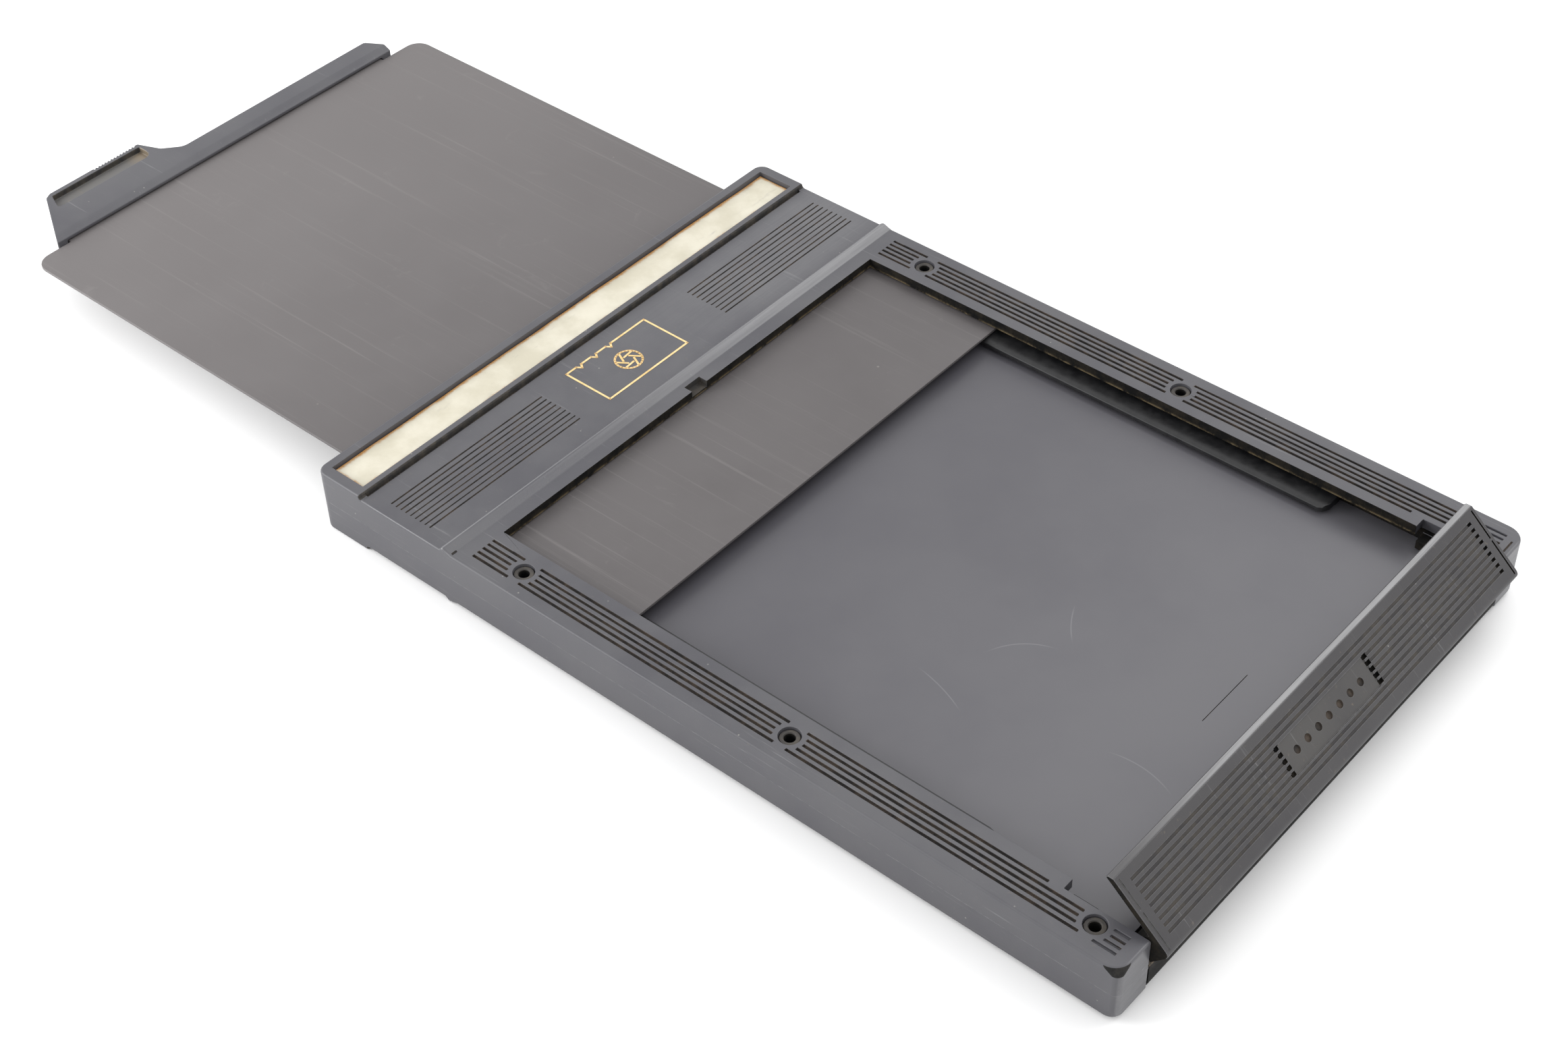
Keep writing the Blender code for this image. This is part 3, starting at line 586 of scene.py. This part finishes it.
def makeCase(which):
    s = caseSizes
    half = s["width"] / 2
    face, crest = s["face"], s["crest"]
    profile = [(s["head"] - lap, midZ - beyond), (s["end"] + lap, midZ - beyond),
               (s["end"] + lap, face), (s["ribFoot"][1], face), (s["ribCrest"], crest),
               (s["ribFoot"][0], face), (s["frameEnd"], face), (s["frameEnd"], crest),
               (s["head"] - lap, crest)]
    bm = bmesh.new()
    prismInto(bm, profile, -half - overrun, half + overrun, 1)
    case = solidFrom("case", bm, casePlastic)
    bm = bmesh.new()
    nearCorner, farCorner = s["endCorners"][which]
    taper = nearCorner[2]
    loops = []
    for k, z in ((0, midZ - 2 * beyond), (0, taper), (1, face), (1, crest + lap)):
        corners = [(s["head"], -half, s["corner"]), (s["end"], -half, nearCorner[k]),
                   (s["end"], half, farCorner[k]), (s["head"], half, s["corner"])]
        loops.append((filletOutline(corners, 7), z))
    loftInto(bm, loops)
    if nearCorner[0] != nearCorner[1]:
        reach = s["cornerReach"]
        for side in bm.faces:    # the taper under the worn corner gets painted shade and dirt
            centre = side.calc_center_median()
            if taper < centre.z < face and centre.x > s["end"] - reach and centre.y < reach - half:
                side.material_index = 1
    cutOrJoin(case, [solidFrom("outline", bm, casePlastic, cornerShadeAndGrime, stepShadeAndDust)], "INTERSECT")
    roundEdges(case, s["edge"], segments=4, angle=50)

    low, high = midZ - 3 * beyond, face + beyond
    window, width = s["window"]
    floor, top = s["channelZ"]
    septumStart, septumEnd, septumHalf, septumTop = s["septum"]
    pocket, pocketFloor = s["pocket"]
    cavityPast, cavityTop = s["cavity"]
    footStart, footEnd, footDepth, footMargin = s["frameFoot"]
    nick, line, notch = s["ribNick"], s["endLine"], s["notch"]
    boxes = {
        "window": ((-window, -width, low), (s["ledgeEnd"] + lap, width, high)),
        "channel": ((s["head"] - overrun, -s["channel"], floor),
                    (s["ledgeEnd"] + s["channelMouth"], s["channel"], top)),
        "cavity": ((septumStart, -s["channel"], low), (window + cavityPast, s["channel"], cavityTop)),
        "rebate": ((septumStart, -septumHalf, low), (septumEnd, septumHalf, septumTop)),
        "pocket": ((window, -pocket, pocketFloor), (s["end"] + overrun, pocket, high)),
        "pocketFloor": ((s["ledgeEnd"], -pocket, low), (s["end"] + overrun, pocket, high)),
        "ribNick": ((nick[0], nick[2] - half, face - nick[4]), (nick[1], nick[3] - half, high)),
        "endLine": ((s["end"] - line[0], line[2], face - line[4]), (s["end"] - line[1], line[3], high)),
        "notch": ((-window - notch[0], notch[2], notch[4]), (-window + notch[1], notch[3], high)),
        "label": ((s["label"][0], -s["labelWidth"] / 2, s["labelFloor"]),
                  (s["label"][1], s["labelWidth"] / 2, high)),
        "frameFoot": ((s["frameEnd"] + footStart, footMargin - half, face - footDepth),
                      (s["frameEnd"] + footEnd, half - footMargin, crest + lap)),
    }
    # cut faces: the window walls, channel, cavity, rebate and pivot holes get painted shade; the frame
    # foot, end line, rib nick and notch painted shade with dust
    inner = {"window": windowWall, "channel": wellShadeAndDust, "cavity": wellShadeAndDust, "rebate": wellShadeAndDust,
             "frameFoot": grooveShadeAndDust, "endLine": grooveShadeAndDust,
             "ribNick": stepShadeAndDust, "notch": stepShadeAndDust}
    tools = [boxTool(name, *span, inner.get(name, casePlastic)) for name, span in boxes.items()]
    bm = bmesh.new()
    crossRodInto(bm, *s["pivotHole"])
    tools.append(solidFrom("pivotHoles", bm, wellShadeAndDust))
    bores = (("holes", s["holeRadius"], low), ("sinks", s["sinkRadius"], s["sinkFloor"]))
    for name, radius, bottom in bores:
        bm = bmesh.new()
        for x in s["rivetX"]:
            for y in (-s["rivetY"], s["rivetY"]):
                postInto(bm, x, y, radius, bottom, high)
        tools.append(solidFrom(name, bm, casePlastic))
    tools.append(caseGrooves())
    cutOrJoin(case, tools, "DIFFERENCE")
    mergeFlats(case)
    roundEdges(case, s["fine"], segments=3, angle=50)
    trimBelow(case, midZ + seam)
    stepShadeSlot, clean = (case.data.materials.find(name) for name in ("stepShadeAndDust", "casePlastic"))
    for side in case.data.polygons:
        x, y, z = side.center / mm
        atFrame = abs(x - s["frameEnd"]) < 0.5 and z > 4.5
        inPocket = window - 0.1 < x < s["end"] - s["cornerReach"] and abs(y) > pocket - 0.1
        if side.normal.x > 0.3 and atFrame:
            side.material_index = stepShadeSlot    # painted shade on the step of the label frame
        elif inPocket and z > floor - 0.1:
            side.material_index = clean    # where the channel shows in the side of the pocket
    evenShading(case)
    return case


septumSizes = {"x": (-90.2, 70.9), "half": 53.0, "thick": 1.0, "corner": 1.5,
               "slitX": 54.85, "slitHalf": 6.6, "slitWidth": 0.10, "slitDepth": 0.25}


def makeSeptum():
    s = septumSizes
    bm = bmesh.new()
    (x0, x1), h, r = s["x"], s["half"], s["corner"]
    prismInto(bm, filletOutline([(x0, -h, r), (x1, -h, r), (x1, h, r), (x0, h, r)]), -s["thick"], 0.0, 2)
    septum = solidFrom("septumSheet", bm, septumPlate)
    w = s["slitWidth"] / 2
    # the slit gets painted shade with dust
    slit = boxTool("slit", (s["slitX"] - w, -s["slitHalf"], -s["slitDepth"]),
                   (s["slitX"] + w, s["slitHalf"], lap), grooveShadeAndDust)
    cutOrJoin(septum, [slit], "DIFFERENCE")
    roundEdges(septum, 0.05, segments=3, angle=60)
    evenShading(septum)
    return septum


slideSizes = {"lead": 62.4, "tail": -97.0, "tongueX": -102.3, "tongueY": (-43.0, 41.5),
              "half": 52.0, "z": (2.35, 2.95), "leadCut": 1.2, "tailRadius": 3.4, "edge": 0.12}


def makeDarkSlide():
    s = slideSizes
    h, near, far = s["half"], s["tongueY"][0], s["tongueY"][1]
    corners = [(s["tail"], -h, s["tailRadius"]), (s["lead"], -h, s["leadCut"]),
               (s["lead"], h, s["leadCut"]), (s["tail"], h, s["tailRadius"]),
               (s["tail"], far, 0), (s["tongueX"], far, 0), (s["tongueX"], near, 0), (s["tail"], near, 0)]
    bm = bmesh.new()
    prismInto(bm, filletOutline(corners, 8), *s["z"], 2)
    slide = solidFrom("darkSlide", bm, slidePlate)
    roundEdges(slide, s["edge"], segments=3, angle=50)
    evenShading(slide)
    return slide


handleSizes = {
    "z": (0.6, 4.7), "chamfer": (1.75, 0.75), "fine": 0.22,
    # bar and finger tab, seen from the front: x, y, radius
    "outline": ((-97.35, -45.8, 0.3), (-110.6, -38.2, 0.7), (-111.35, -36.8, 0.5),
                (-111.35, -14.2, 0.5), (-106.3, -12.1, 1.2), (-103.25, -8.6, 3.0),
                (-103.25, 42.0, 1.0), (-99.4, 44.3, 0.8), (-97.35, 44.3, 0.3)),
    "slot": ((-102.6, -43.3, 2.05), (-90.0, 41.8, 3.25)),    # takes the slide's tongue
    "pocket": ((-110.1, -37.0, 3.55), (-106.1, -14.7, 8.0)), "pocketRadii": (0.4, 0.6, 1.6, 0.4),
    "pocketSlant": 1.5,
    "serration": (14, -25.6, 0.78), "serrationX": (-112.0, -110.95), "serrationDepth": 0.35,
}


def makeHandle():
    s = handleSizes
    bm = bmesh.new()
    prismInto(bm, filletOutline(s["outline"]), *s["z"], 2)
    handle = solidFrom("slideHandle", bm, handlePlastic)
    deep, drop = s["chamfer"]
    lip, top = s["outline"][0][0], s["z"][1]
    bm = bmesh.new()
    wedge = [(lip - deep, top), (lip + lap, top - drop * (1 + lap / deep)), (lip + lap, top + lap),
             (lip - deep, top + lap)]
    prismInto(bm, wedge, -caseSizes["width"] / 2, caseSizes["width"] / 2, 1)
    chamfer = solidFrom("chamfer", bm, handlePlastic)
    slot = boxTool("slot", *s["slot"], handlePlastic)
    bm = bmesh.new()
    (x0, y0, z0), (x1, y1, z1) = s["pocket"]
    corners = ((x0, y0), (x1, y0 - s["pocketSlant"]), (x1, y1), (x0, y1))
    outline = [(x, y, radius) for (x, y), radius in zip(corners, s["pocketRadii"])]
    prismInto(bm, filletOutline(outline), z0, z1, 2)
    pocket = solidFrom("pocket", bm, pocketPlastic)
    count, first, pitch = s["serration"]
    bm = bmesh.new()
    for i in range(count):
        y = first + i * pitch
        boxInto(bm, (s["serrationX"][0], y, top - s["serrationDepth"]),
                (s["serrationX"][1], y + pitch / 2, top + lap))
    serration = solidFrom("serration", bm, handlePlastic)
    cutOrJoin(handle, [chamfer, slot, pocket, serration], "DIFFERENCE")
    roundEdges(handle, s["fine"], segments=3, angle=50)
    handle.data.materials.append(stepShadeAndDust)
    for side in handle.data.polygons:    # the shaded inner wall of the finger tab
        x, y, z = side.center / mm
        if side.normal.x > 0.5 and abs(x - x0) < 0.2 and y0 < y < y1:
            side.material_index = len(handle.data.materials) - 1
    evenShading(handle)
    return handle


flapSizes = {
    "half": 52.0, "face": 5.2, "under": 4.0, "start": 60.58, "blockStart": 71.6, "end": 75.85,
    "rib": (62.9, 64.3, 1.0, 49.7), "ribRoot": 0.3, "lip": (0.80, 0.70),
    "heel": (0.45, 0.58), "heelReach": 1.1, "stubRadius": 0.35, "stubReach": 53.7,
    # how far the worn outer edge falls in from the end and from the face
    "outerEdge": ((0.0, 1.0), (0.12, 0.55), (0.35, 0.25), (0.7, 0.08), (1.1, 0.0)),
    "grooves": 9, "firstGroove": 63.3, "pitch": 1.21, "grooveWidth": 0.5, "grooveDepth": 0.20,
    "grooveHalf": 49.45, "pit": 0.75, "pitDepth": 0.3, "pitLap": 0.05,
    # the sunk plate: from and to in x, half its length, depth
    "plate": (65.43, 71.14, 12.4, 0.26), "tooth": 0.95, "toothLap": 0.1, "toothGrow": 0.12,
    "toothDepth": 0.4, "dots": 7, "dotPitch": 3.1, "dotRadius": 0.7, "dotDepth": 0.35,
    # the fine groove at each end: place, width, near and far depth, spans in x
    "endGroove": (51.2, 0.3), "endDepths": (0.14, 0.45), "endSpans": ((61.9, 67.6), (68.1, 75.0)),
    "fine": 0.10,
}


def grooveRows(first, last):
    s = flapSizes
    for i in range(s["grooves"]):
        middle = s["firstGroove"] + i * s["pitch"]
        if first < middle < last:
            yield middle - s["grooveWidth"] / 2, middle + s["grooveWidth"] / 2


def makeFlap():
    s = flapSizes
    half, face, end = s["half"], s["face"], s["end"]
    across, deep = s["heel"]
    section = [(s["start"], s["under"]), (s["blockStart"], s["under"]), (s["blockStart"], hinge.z - deep)]
    for degrees in range(270, 361, 15):    # a quarter turn round the hinge
        angle = math.radians(degrees)
        section.append((hinge.x + across * math.cos(angle), hinge.z + deep * math.sin(angle)))
    section += [(end - inward, face - down) for inward, down in s["outerEdge"]]
    section += [(s["start"] + s["lip"][0], face), (s["start"], face - s["lip"][1])]
    bm = bmesh.new()
    prismInto(bm, section, -half, half, 1)
    flap = solidFrom("loadingFlap", bm, flapPlastic)
    bm = bmesh.new()
    crossRodInto(bm, s["stubRadius"], 2 * s["stubReach"])
    stubs = solidFrom("stubs", bm, flapPlastic)
    x0, x1, tip, reach = s["rib"]
    rib = boxTool("rib", (x0, -reach, tip), (x1, reach, s["under"] + s["ribRoot"]), flapPlastic)
    cutOrJoin(flap, [stubs, rib], "UNION")

    high, floor, reach = face + beyond, face - s["grooveDepth"], s["grooveHalf"]
    plateStart, plateEnd, plateReach, plateDepth = s["plate"]
    grooves, pits, nearEnd, farEnd = (bmesh.new() for i in range(4))
    for x0, x1 in grooveRows(0, end):
        boxInto(grooves, (x0, -reach, floor), (x1, reach - s["pit"], high))
        boxInto(pits, (x0, reach - s["pit"] - s["pitLap"], floor - s["pitDepth"]), (x1, reach, high))
    away, wide = s["endGroove"]
    for bm, middle, depth in zip((nearEnd, farEnd), (-away, away), s["endDepths"]):
        for start, stop in s["endSpans"]:
            boxInto(bm, (start, middle - wide / 2, face - depth), (stop, middle + wide / 2, high))
    plate = boxTool("plate", (plateStart, -plateReach, face - plateDepth),
                    (plateEnd, plateReach, high), flapPlate)
    # the pits and the far end groove get painted shade; the near end groove the sunk plate's tone
    cutOrJoin(flap, [solidFrom("grooves", grooves, flapGroove), solidFrom("pits", pits, wellShadeAndDust),
                     solidFrom("nearEnd", nearEnd, flapPlate), solidFrom("farEnd", farEnd, wellShadeAndDust),
                     plate], "DIFFERENCE")
    teeth, dots = bmesh.new(), bmesh.new()
    for x0, x1 in grooveRows(plateStart, plateEnd):
        for side in (-1, 1):
            near, far = sorted((side * (plateReach - s["toothLap"]), side * (plateReach + s["tooth"])))
            boxInto(teeth, (x0 - s["toothGrow"], near, floor - s["toothDepth"]),
                    (x1 + s["toothGrow"], far, high))
    for i in range(s["dots"]):
        y = (i - (s["dots"] - 1) / 2) * s["dotPitch"]
        postInto(dots, (plateStart + plateEnd) / 2, y, s["dotRadius"],
                 face - plateDepth - s["dotDepth"], high, 28)
    # the teeth slots get painted shade, the dots painted shade with dust
    cutOrJoin(flap, [solidFrom("teeth", teeth, wellShadeAndDust), solidFrom("dots", dots, grooveShadeAndDust)],
              "DIFFERENCE")
    mergeFlats(flap)
    roundEdges(flap, s["fine"], segments=2, angle=50)

    slots = {}
    for finish in (wellShadeAndDust, hingeDust, cornerShadeAndGrime):
        if flap.data.materials.find(finish.name) < 0:
            flap.data.materials.append(finish)
        slots[finish.name] = flap.data.materials.find(finish.name)
    # the heel gets dust; the hidden underside and block end painted shade; the lower outer end painted
    # shade with dirt
    for side in flap.data.polygons:
        x, y, z = side.center / mm
        below = z < s["under"] - 0.12 and x > s["start"] + 0.5
        inward = x < s["blockStart"] + 0.2 or abs(y) > half - 0.3
        if (x - hinge.x) ** 2 + (z - hinge.z) ** 2 < s["heelReach"] ** 2:
            side.material_index = slots["hingeDust"]
        elif below and inward:
            side.material_index = slots["wellShadeAndDust"]
        elif x > end - 0.1 and z < face - 1.0:
            side.material_index = slots["cornerShadeAndGrime"]
    evenShading(flap)
    return flap


stripSizes = {
    "x": (-94.95, -87.35), "half": 57.75, "top": 5.05, "thick": 0.3, "wave": 0.05,
    "curl": 0.4, "curlFrom": 0.93,    # lift at the ends and where along the half it starts
    "cells": (10, 96),
}


def makeStrip():
    s = stripSizes
    bm = bmesh.new()
    across, along = s["cells"]
    grid = []
    for i in range(across + 1):
        row = []
        for j in range(along + 1):
            x = s["x"][0] + (s["x"][1] - s["x"][0]) * i / across
            y = -s["half"] + 2 * s["half"] * j / along
            lift = s["wave"] * (math.sin(y * 0.21) + 0.6 * math.sin(y * 0.53 + x * 0.7))
            curl = s["curl"] * max(0.0, abs(y) / s["half"] - s["curlFrom"])
            row.append(bm.verts.new((x, y, s["top"] + lift + curl)))
        grid.append(row)
    for i in range(across):
        for j in range(along):
            bm.faces.new((grid[i][j], grid[i + 1][j], grid[i + 1][j + 1], grid[i][j + 1]))
    strip = solidFrom("labelStrip", bm, labelCard)
    thick = strip.modifiers.new("thickness", "SOLIDIFY")
    thick.thickness = s["thick"] * mm
    thick.offset = -1.0
    bakeShape(strip)
    evenShading(strip)
    return strip


railSizes = {
    "x": (-62.5, 44.3), "edge": 0.12,
    "section": ((47.2, 0.6), (50.9, 0.6), (50.9, 0.3), (52.3, 0.3), (52.3, 2.02), (48.1, 2.02),
                (47.2, 1.5)),
    # the rounded flap end, as (back from the end, y), and a y clear of the rail
    "endCut": ((2.2, 47.0), (0.7, 47.5), (0.0, 48.8)), "clear": 60.0,
}


def makeFilmRail(side):
    s = railSizes
    bm = bmesh.new()
    prismInto(bm, [(side * y, z) for y, z in s["section"]], *s["x"], 0)
    rail = solidFrom("filmRail", bm, railBlack)
    bm = bmesh.new()
    start, stop = s["x"]
    keep = [(start - beyond, side * s["endCut"][0][1])]
    keep += [(stop - back, side * y) for back, y in s["endCut"]]
    keep += [(stop, side * s["clear"]), (start - beyond, side * s["clear"])]
    prismInto(bm, keep, -lap, 4 * lap, 2)
    cutOrJoin(rail, [solidFrom("railEnd", bm, railBlack)], "INTERSECT")
    roundEdges(rail, s["edge"], segments=3)
    evenShading(rail)
    return rail


rivetSizes = {
    "bore": 0.92, "tube": 1.05, "flange": 1.78, "top": 5.28, "under": 4.95, "steps": 48,
    # the rolled rim: out from the bore and down from the top, then in from the flange and down
    "mouth": ((0.0, 0.5), (0.06, 0.2), (0.22, 0.0)), "brim": ((0.12, 0.05), (0.0, 0.18)),
}


def makeRivet():
    s = rivetSizes
    upper = [(s["bore"] + out, s["top"] - down) for out, down in s["mouth"]]
    upper += [(s["flange"] - inward, s["top"] - down) for inward, down in s["brim"]]
    upper += [(s["flange"], s["under"]), (s["tube"], s["under"])]
    profile = upper + [(x, -z) for x, z in reversed(upper)]
    mesh = bpy.data.meshes.new("rivet")
    bm = bmesh.new()
    ring = [bm.verts.new((x * mm, 0.0, z * mm)) for x, z in profile]
    for i, vert in enumerate(ring):
        bm.edges.new((vert, ring[(i + 1) % len(ring)]))
    bm.to_mesh(mesh)
    bm.free()
    mesh.materials.append(rivetBlack)
    mesh.materials.append(wellShadeAndDust)
    rivet = bpy.data.objects.new("rivet", mesh)
    bpy.context.scene.collection.objects.link(rivet)
    screw = rivet.modifiers.new("turn", "SCREW")
    screw.steps = screw.render_steps = s["steps"]
    screw.use_merge_vertices = True
    screw.merge_threshold = 0.00001
    bakeShape(rivet)
    for side in rivet.data.polygons:
        if side.center.xy.length < (s["bore"] + 0.05) * mm:
            side.material_index = 1    # the bore, painted dark as shade
    evenShading(rivet)
    return rivet


# A plain printed sign for the head panel: a sheet with notches round an iris.
signSizes = {
    "x": (-81.5, -70.4), "y": (-12.5, 8.5), "line": 0.42,
    "notches": 3, "notchDeep": 0.9, "notchPitch": 8,    # the pitch is this part of the length
    "iris": (2.6, 6), "irisShift": 0.4, "bladeTurn": 1.15, "bladeInner": 0.42,
}


def makeSign():
    s = signSizes
    (x0, x1), (y0, y1) = s["x"], s["y"]
    bm = bmesh.new()
    face = caseSizes["face"]

    def bar(ax, ay, bx, by):
        along = Vector((bx - ax, by - ay)).normalized() * s["line"] / 2
        across = Vector((-along.y, along.x))
        outline = [(ax - along.x + across.x, ay - along.y + across.y),
                   (bx + along.x + across.x, by + along.y + across.y),
                   (bx + along.x - across.x, by + along.y - across.y),
                   (ax - along.x - across.x, ay - along.y - across.y)]
        prismInto(bm, outline, face + hair, face + 2 * hair, 2)

    bar(x0, y0, x1, y0)
    bar(x1, y0, x1, y1)
    bar(x1, y1, x0, y1)
    step = (y1 - y0) / s["notchPitch"]
    deep = x0 + s["notchDeep"]
    y = y0
    for i in range(s["notches"]):
        bar(x0, y, x0, y + step)
        bar(x0, y + step, deep, y + step * 1.25)
        bar(deep, y + step * 1.25, x0, y + step * 1.5)
        y += step * 1.5
    bar(x0, y, x0, y1)
    radius, blades = s["iris"]
    cx, cy = (x0 + x1) / 2 + s["irisShift"], (y0 + y1) / 2

    def onIris(reach, angle):
        return cx + reach * radius * math.cos(angle), cy + reach * radius * math.sin(angle)

    sides = blades * 4
    for i in range(sides):
        start, end = (2 * math.pi * k / sides for k in (i, i + 1))
        bar(*onIris(1, start), *onIris(1, end))
    for i in range(blades):
        start = 2 * math.pi * i / blades
        bar(*onIris(1, start), *onIris(s["bladeInner"], start + s["bladeTurn"]))
    return solidFrom("panelSign", bm, goldInk)


def turned(side):
    if side == "front":
        return Matrix.Identity(4)
    middle = Matrix.Translation((0.0, 0.0, midZ))
    return middle @ Matrix.Rotation(math.pi, 4, "X") @ middle.inverted()


def homePlace(side, moved=Matrix.Identity(4)):
    place = Matrix.Translation(-datum) @ turned(side) @ moved
    place.translation *= mm
    return place


def setDown(master, name, side, body, node, moved=Matrix.Identity(4)):
    # a copy of the master at its place in the frame, riding its body and standing for its node
    piece = bpy.data.objects.new(name, master.data)
    bpy.context.scene.collection.objects.link(piece)
    if "drawn" not in piece.data.attributes:
        spots = [number for vert in piece.data.vertices for number in vert.co]
        piece.data.attributes.new("drawn", "FLOAT_VECTOR", "POINT").data.foreach_set("vector", spots)
    if moved.to_quaternion().angle:    # an opened flap keeps an upright box
        piece.data = master.data.copy()
        turn = moved.copy()
        turn.translation *= mm
        piece.data.transform(turn)
        moved = Matrix.Identity(4)
    piece.matrix_world = homePlace(side, moved)
    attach(piece, body)
    if node:
        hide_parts(node)
    return piece


pulled = Matrix.Translation((-slidePull, 0.0, 0.0))
opened = Matrix.Translation(hinge) @ Matrix.Rotation(flapOpen, 4, "Y") @ Matrix.Translation(-hinge)
masters = {
    "frontCase": makeCase("front"), "backCase": makeCase("back"), "septum": makeSeptum(),
    "slide": makeDarkSlide(), "handle": makeHandle(), "flap": makeFlap(), "strip": makeStrip(),
    "nearRail": makeFilmRail(-1), "farRail": makeFilmRail(1), "rivet": makeRivet(), "sign": makeSign(),
}
print("pieces shaped")

for side in ("front", "back"):
    slidMove, flapMove = (pulled, opened) if side == "front" else (Matrix.Identity(4),) * 2
    setDown(masters[f"{side}Case"], f"{side}Case", side, "holder", f"{side}_shell")
    setDown(masters["strip"], f"{side}LabelStrip", side, "holder", f"{side}_writing_strip")
    setDown(masters["nearRail"], f"{side}FilmRailNear", side, "holder", f"{side}_film_rail_near")
    setDown(masters["farRail"], f"{side}FilmRailFar", side, "holder", f"{side}_film_rail_far")
    setDown(masters["slide"], f"{side}DarkSlide", side, f"{side}_slide", f"{side}_dark_slide", slidMove)
    setDown(masters["handle"], f"{side}SlideHandle", side, f"{side}_slide", f"{side}_slide_handle",
            slidMove)
    setDown(masters["flap"], f"{side}LoadingFlap", side, f"{side}_flap", f"{side}_flap", flapMove)
    setDown(masters["sign"], f"{side}PanelSign", side, "holder", None)
    for node, finish in ((f"{side}_trap_velvet", pileBlack), (f"{side}_trap_spring", springBrass)):
        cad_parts[node].data.materials.clear()
        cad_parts[node].data.materials.append(finish)
setDown(masters["septum"], "septumSheet.set", "front", "holder", "septum")
rivetNumber = 0
for y in (-caseSizes["rivetY"], caseSizes["rivetY"]):
    for x in caseSizes["rivetX"]:
        rivetNumber += 1
        setDown(masters["rivet"], f"caseRivet{rivetNumber}", "front", "holder", f"rivet_{rivetNumber}",
                Matrix.Translation((x, y, midZ)))
for master in masters.values():
    bpy.data.objects.remove(master)
print("pieces set down")


studio = {
    "table": (0.90, 0.90, 0.90), "tableReach": 3000.0, "world": 1.18,
    # place, aim, size and power of each light
    "lights": {"key": ((0.25, 0.55, 0.75), (0.08, 0.0, 0.0), (0.7, 0.5), 3.2),
               "left": ((-0.30, -0.34, 0.20), (0.0, -0.05, 0.0), (0.3, 0.25), 2.0)},
}


def areaLight(name, where, aim, size, power):
    light = bpy.data.lights.new(name, "AREA")
    light.shape = "RECTANGLE"
    light.size, light.size_y = size
    light.energy = power
    lamp = bpy.data.objects.new(name, light)
    bpy.context.scene.collection.objects.link(lamp)
    lamp.location = where
    lamp.rotation_euler = (Vector(aim) - Vector(where)).to_track_quat("-Z", "Y").to_euler()


def makeStudio():
    bm = bmesh.new()
    bmesh.ops.create_grid(bm, x_segments=1, y_segments=1, size=studio["tableReach"])
    material, tree, shader = startFinish("paleTable")
    shader.inputs["Base Color"].default_value = (*studio["table"], 1.0)
    shader.inputs["Roughness"].default_value = 0.9
    table = solidFrom("table", bm, material)
    bpy.context.scene.view_settings.view_transform = "Standard"
    world = bpy.data.worlds.new("studio")
    bpy.context.scene.world = world
    world.use_nodes = True
    background = world.node_tree.nodes["Background"]
    background.inputs["Color"].default_value = (1.0, 1.0, 1.0, 1.0)
    background.inputs["Strength"].default_value = studio["world"]
    for name, setting in studio["lights"].items():
        areaLight(name, *setting)


cameraView = {"where": (286.73, -260.15, 312.14), "aim": (73.20, -19.31, 12.20), "lens": 58.745,
              "roll": 1.60}


def makeCamera():
    lens = bpy.data.cameras.new("viewpoint")
    lens.lens = cameraView["lens"]
    lens.sensor_width = 36.0
    lens.clip_start = 0.01
    camera = bpy.data.objects.new("viewpoint", lens)
    bpy.context.scene.collection.objects.link(camera)
    where, aim = Vector(cameraView["where"]) * mm, Vector(cameraView["aim"]) * mm
    look = (aim - where).to_track_quat("-Z", "Y").to_matrix().to_4x4()
    roll = Matrix.Rotation(math.radians(-cameraView["roll"]), 4, "Z")
    camera.matrix_world = Matrix.Translation(where) @ look @ roll
    bpy.context.scene.camera = camera


makeStudio()
makeCamera()
print("studio ready")
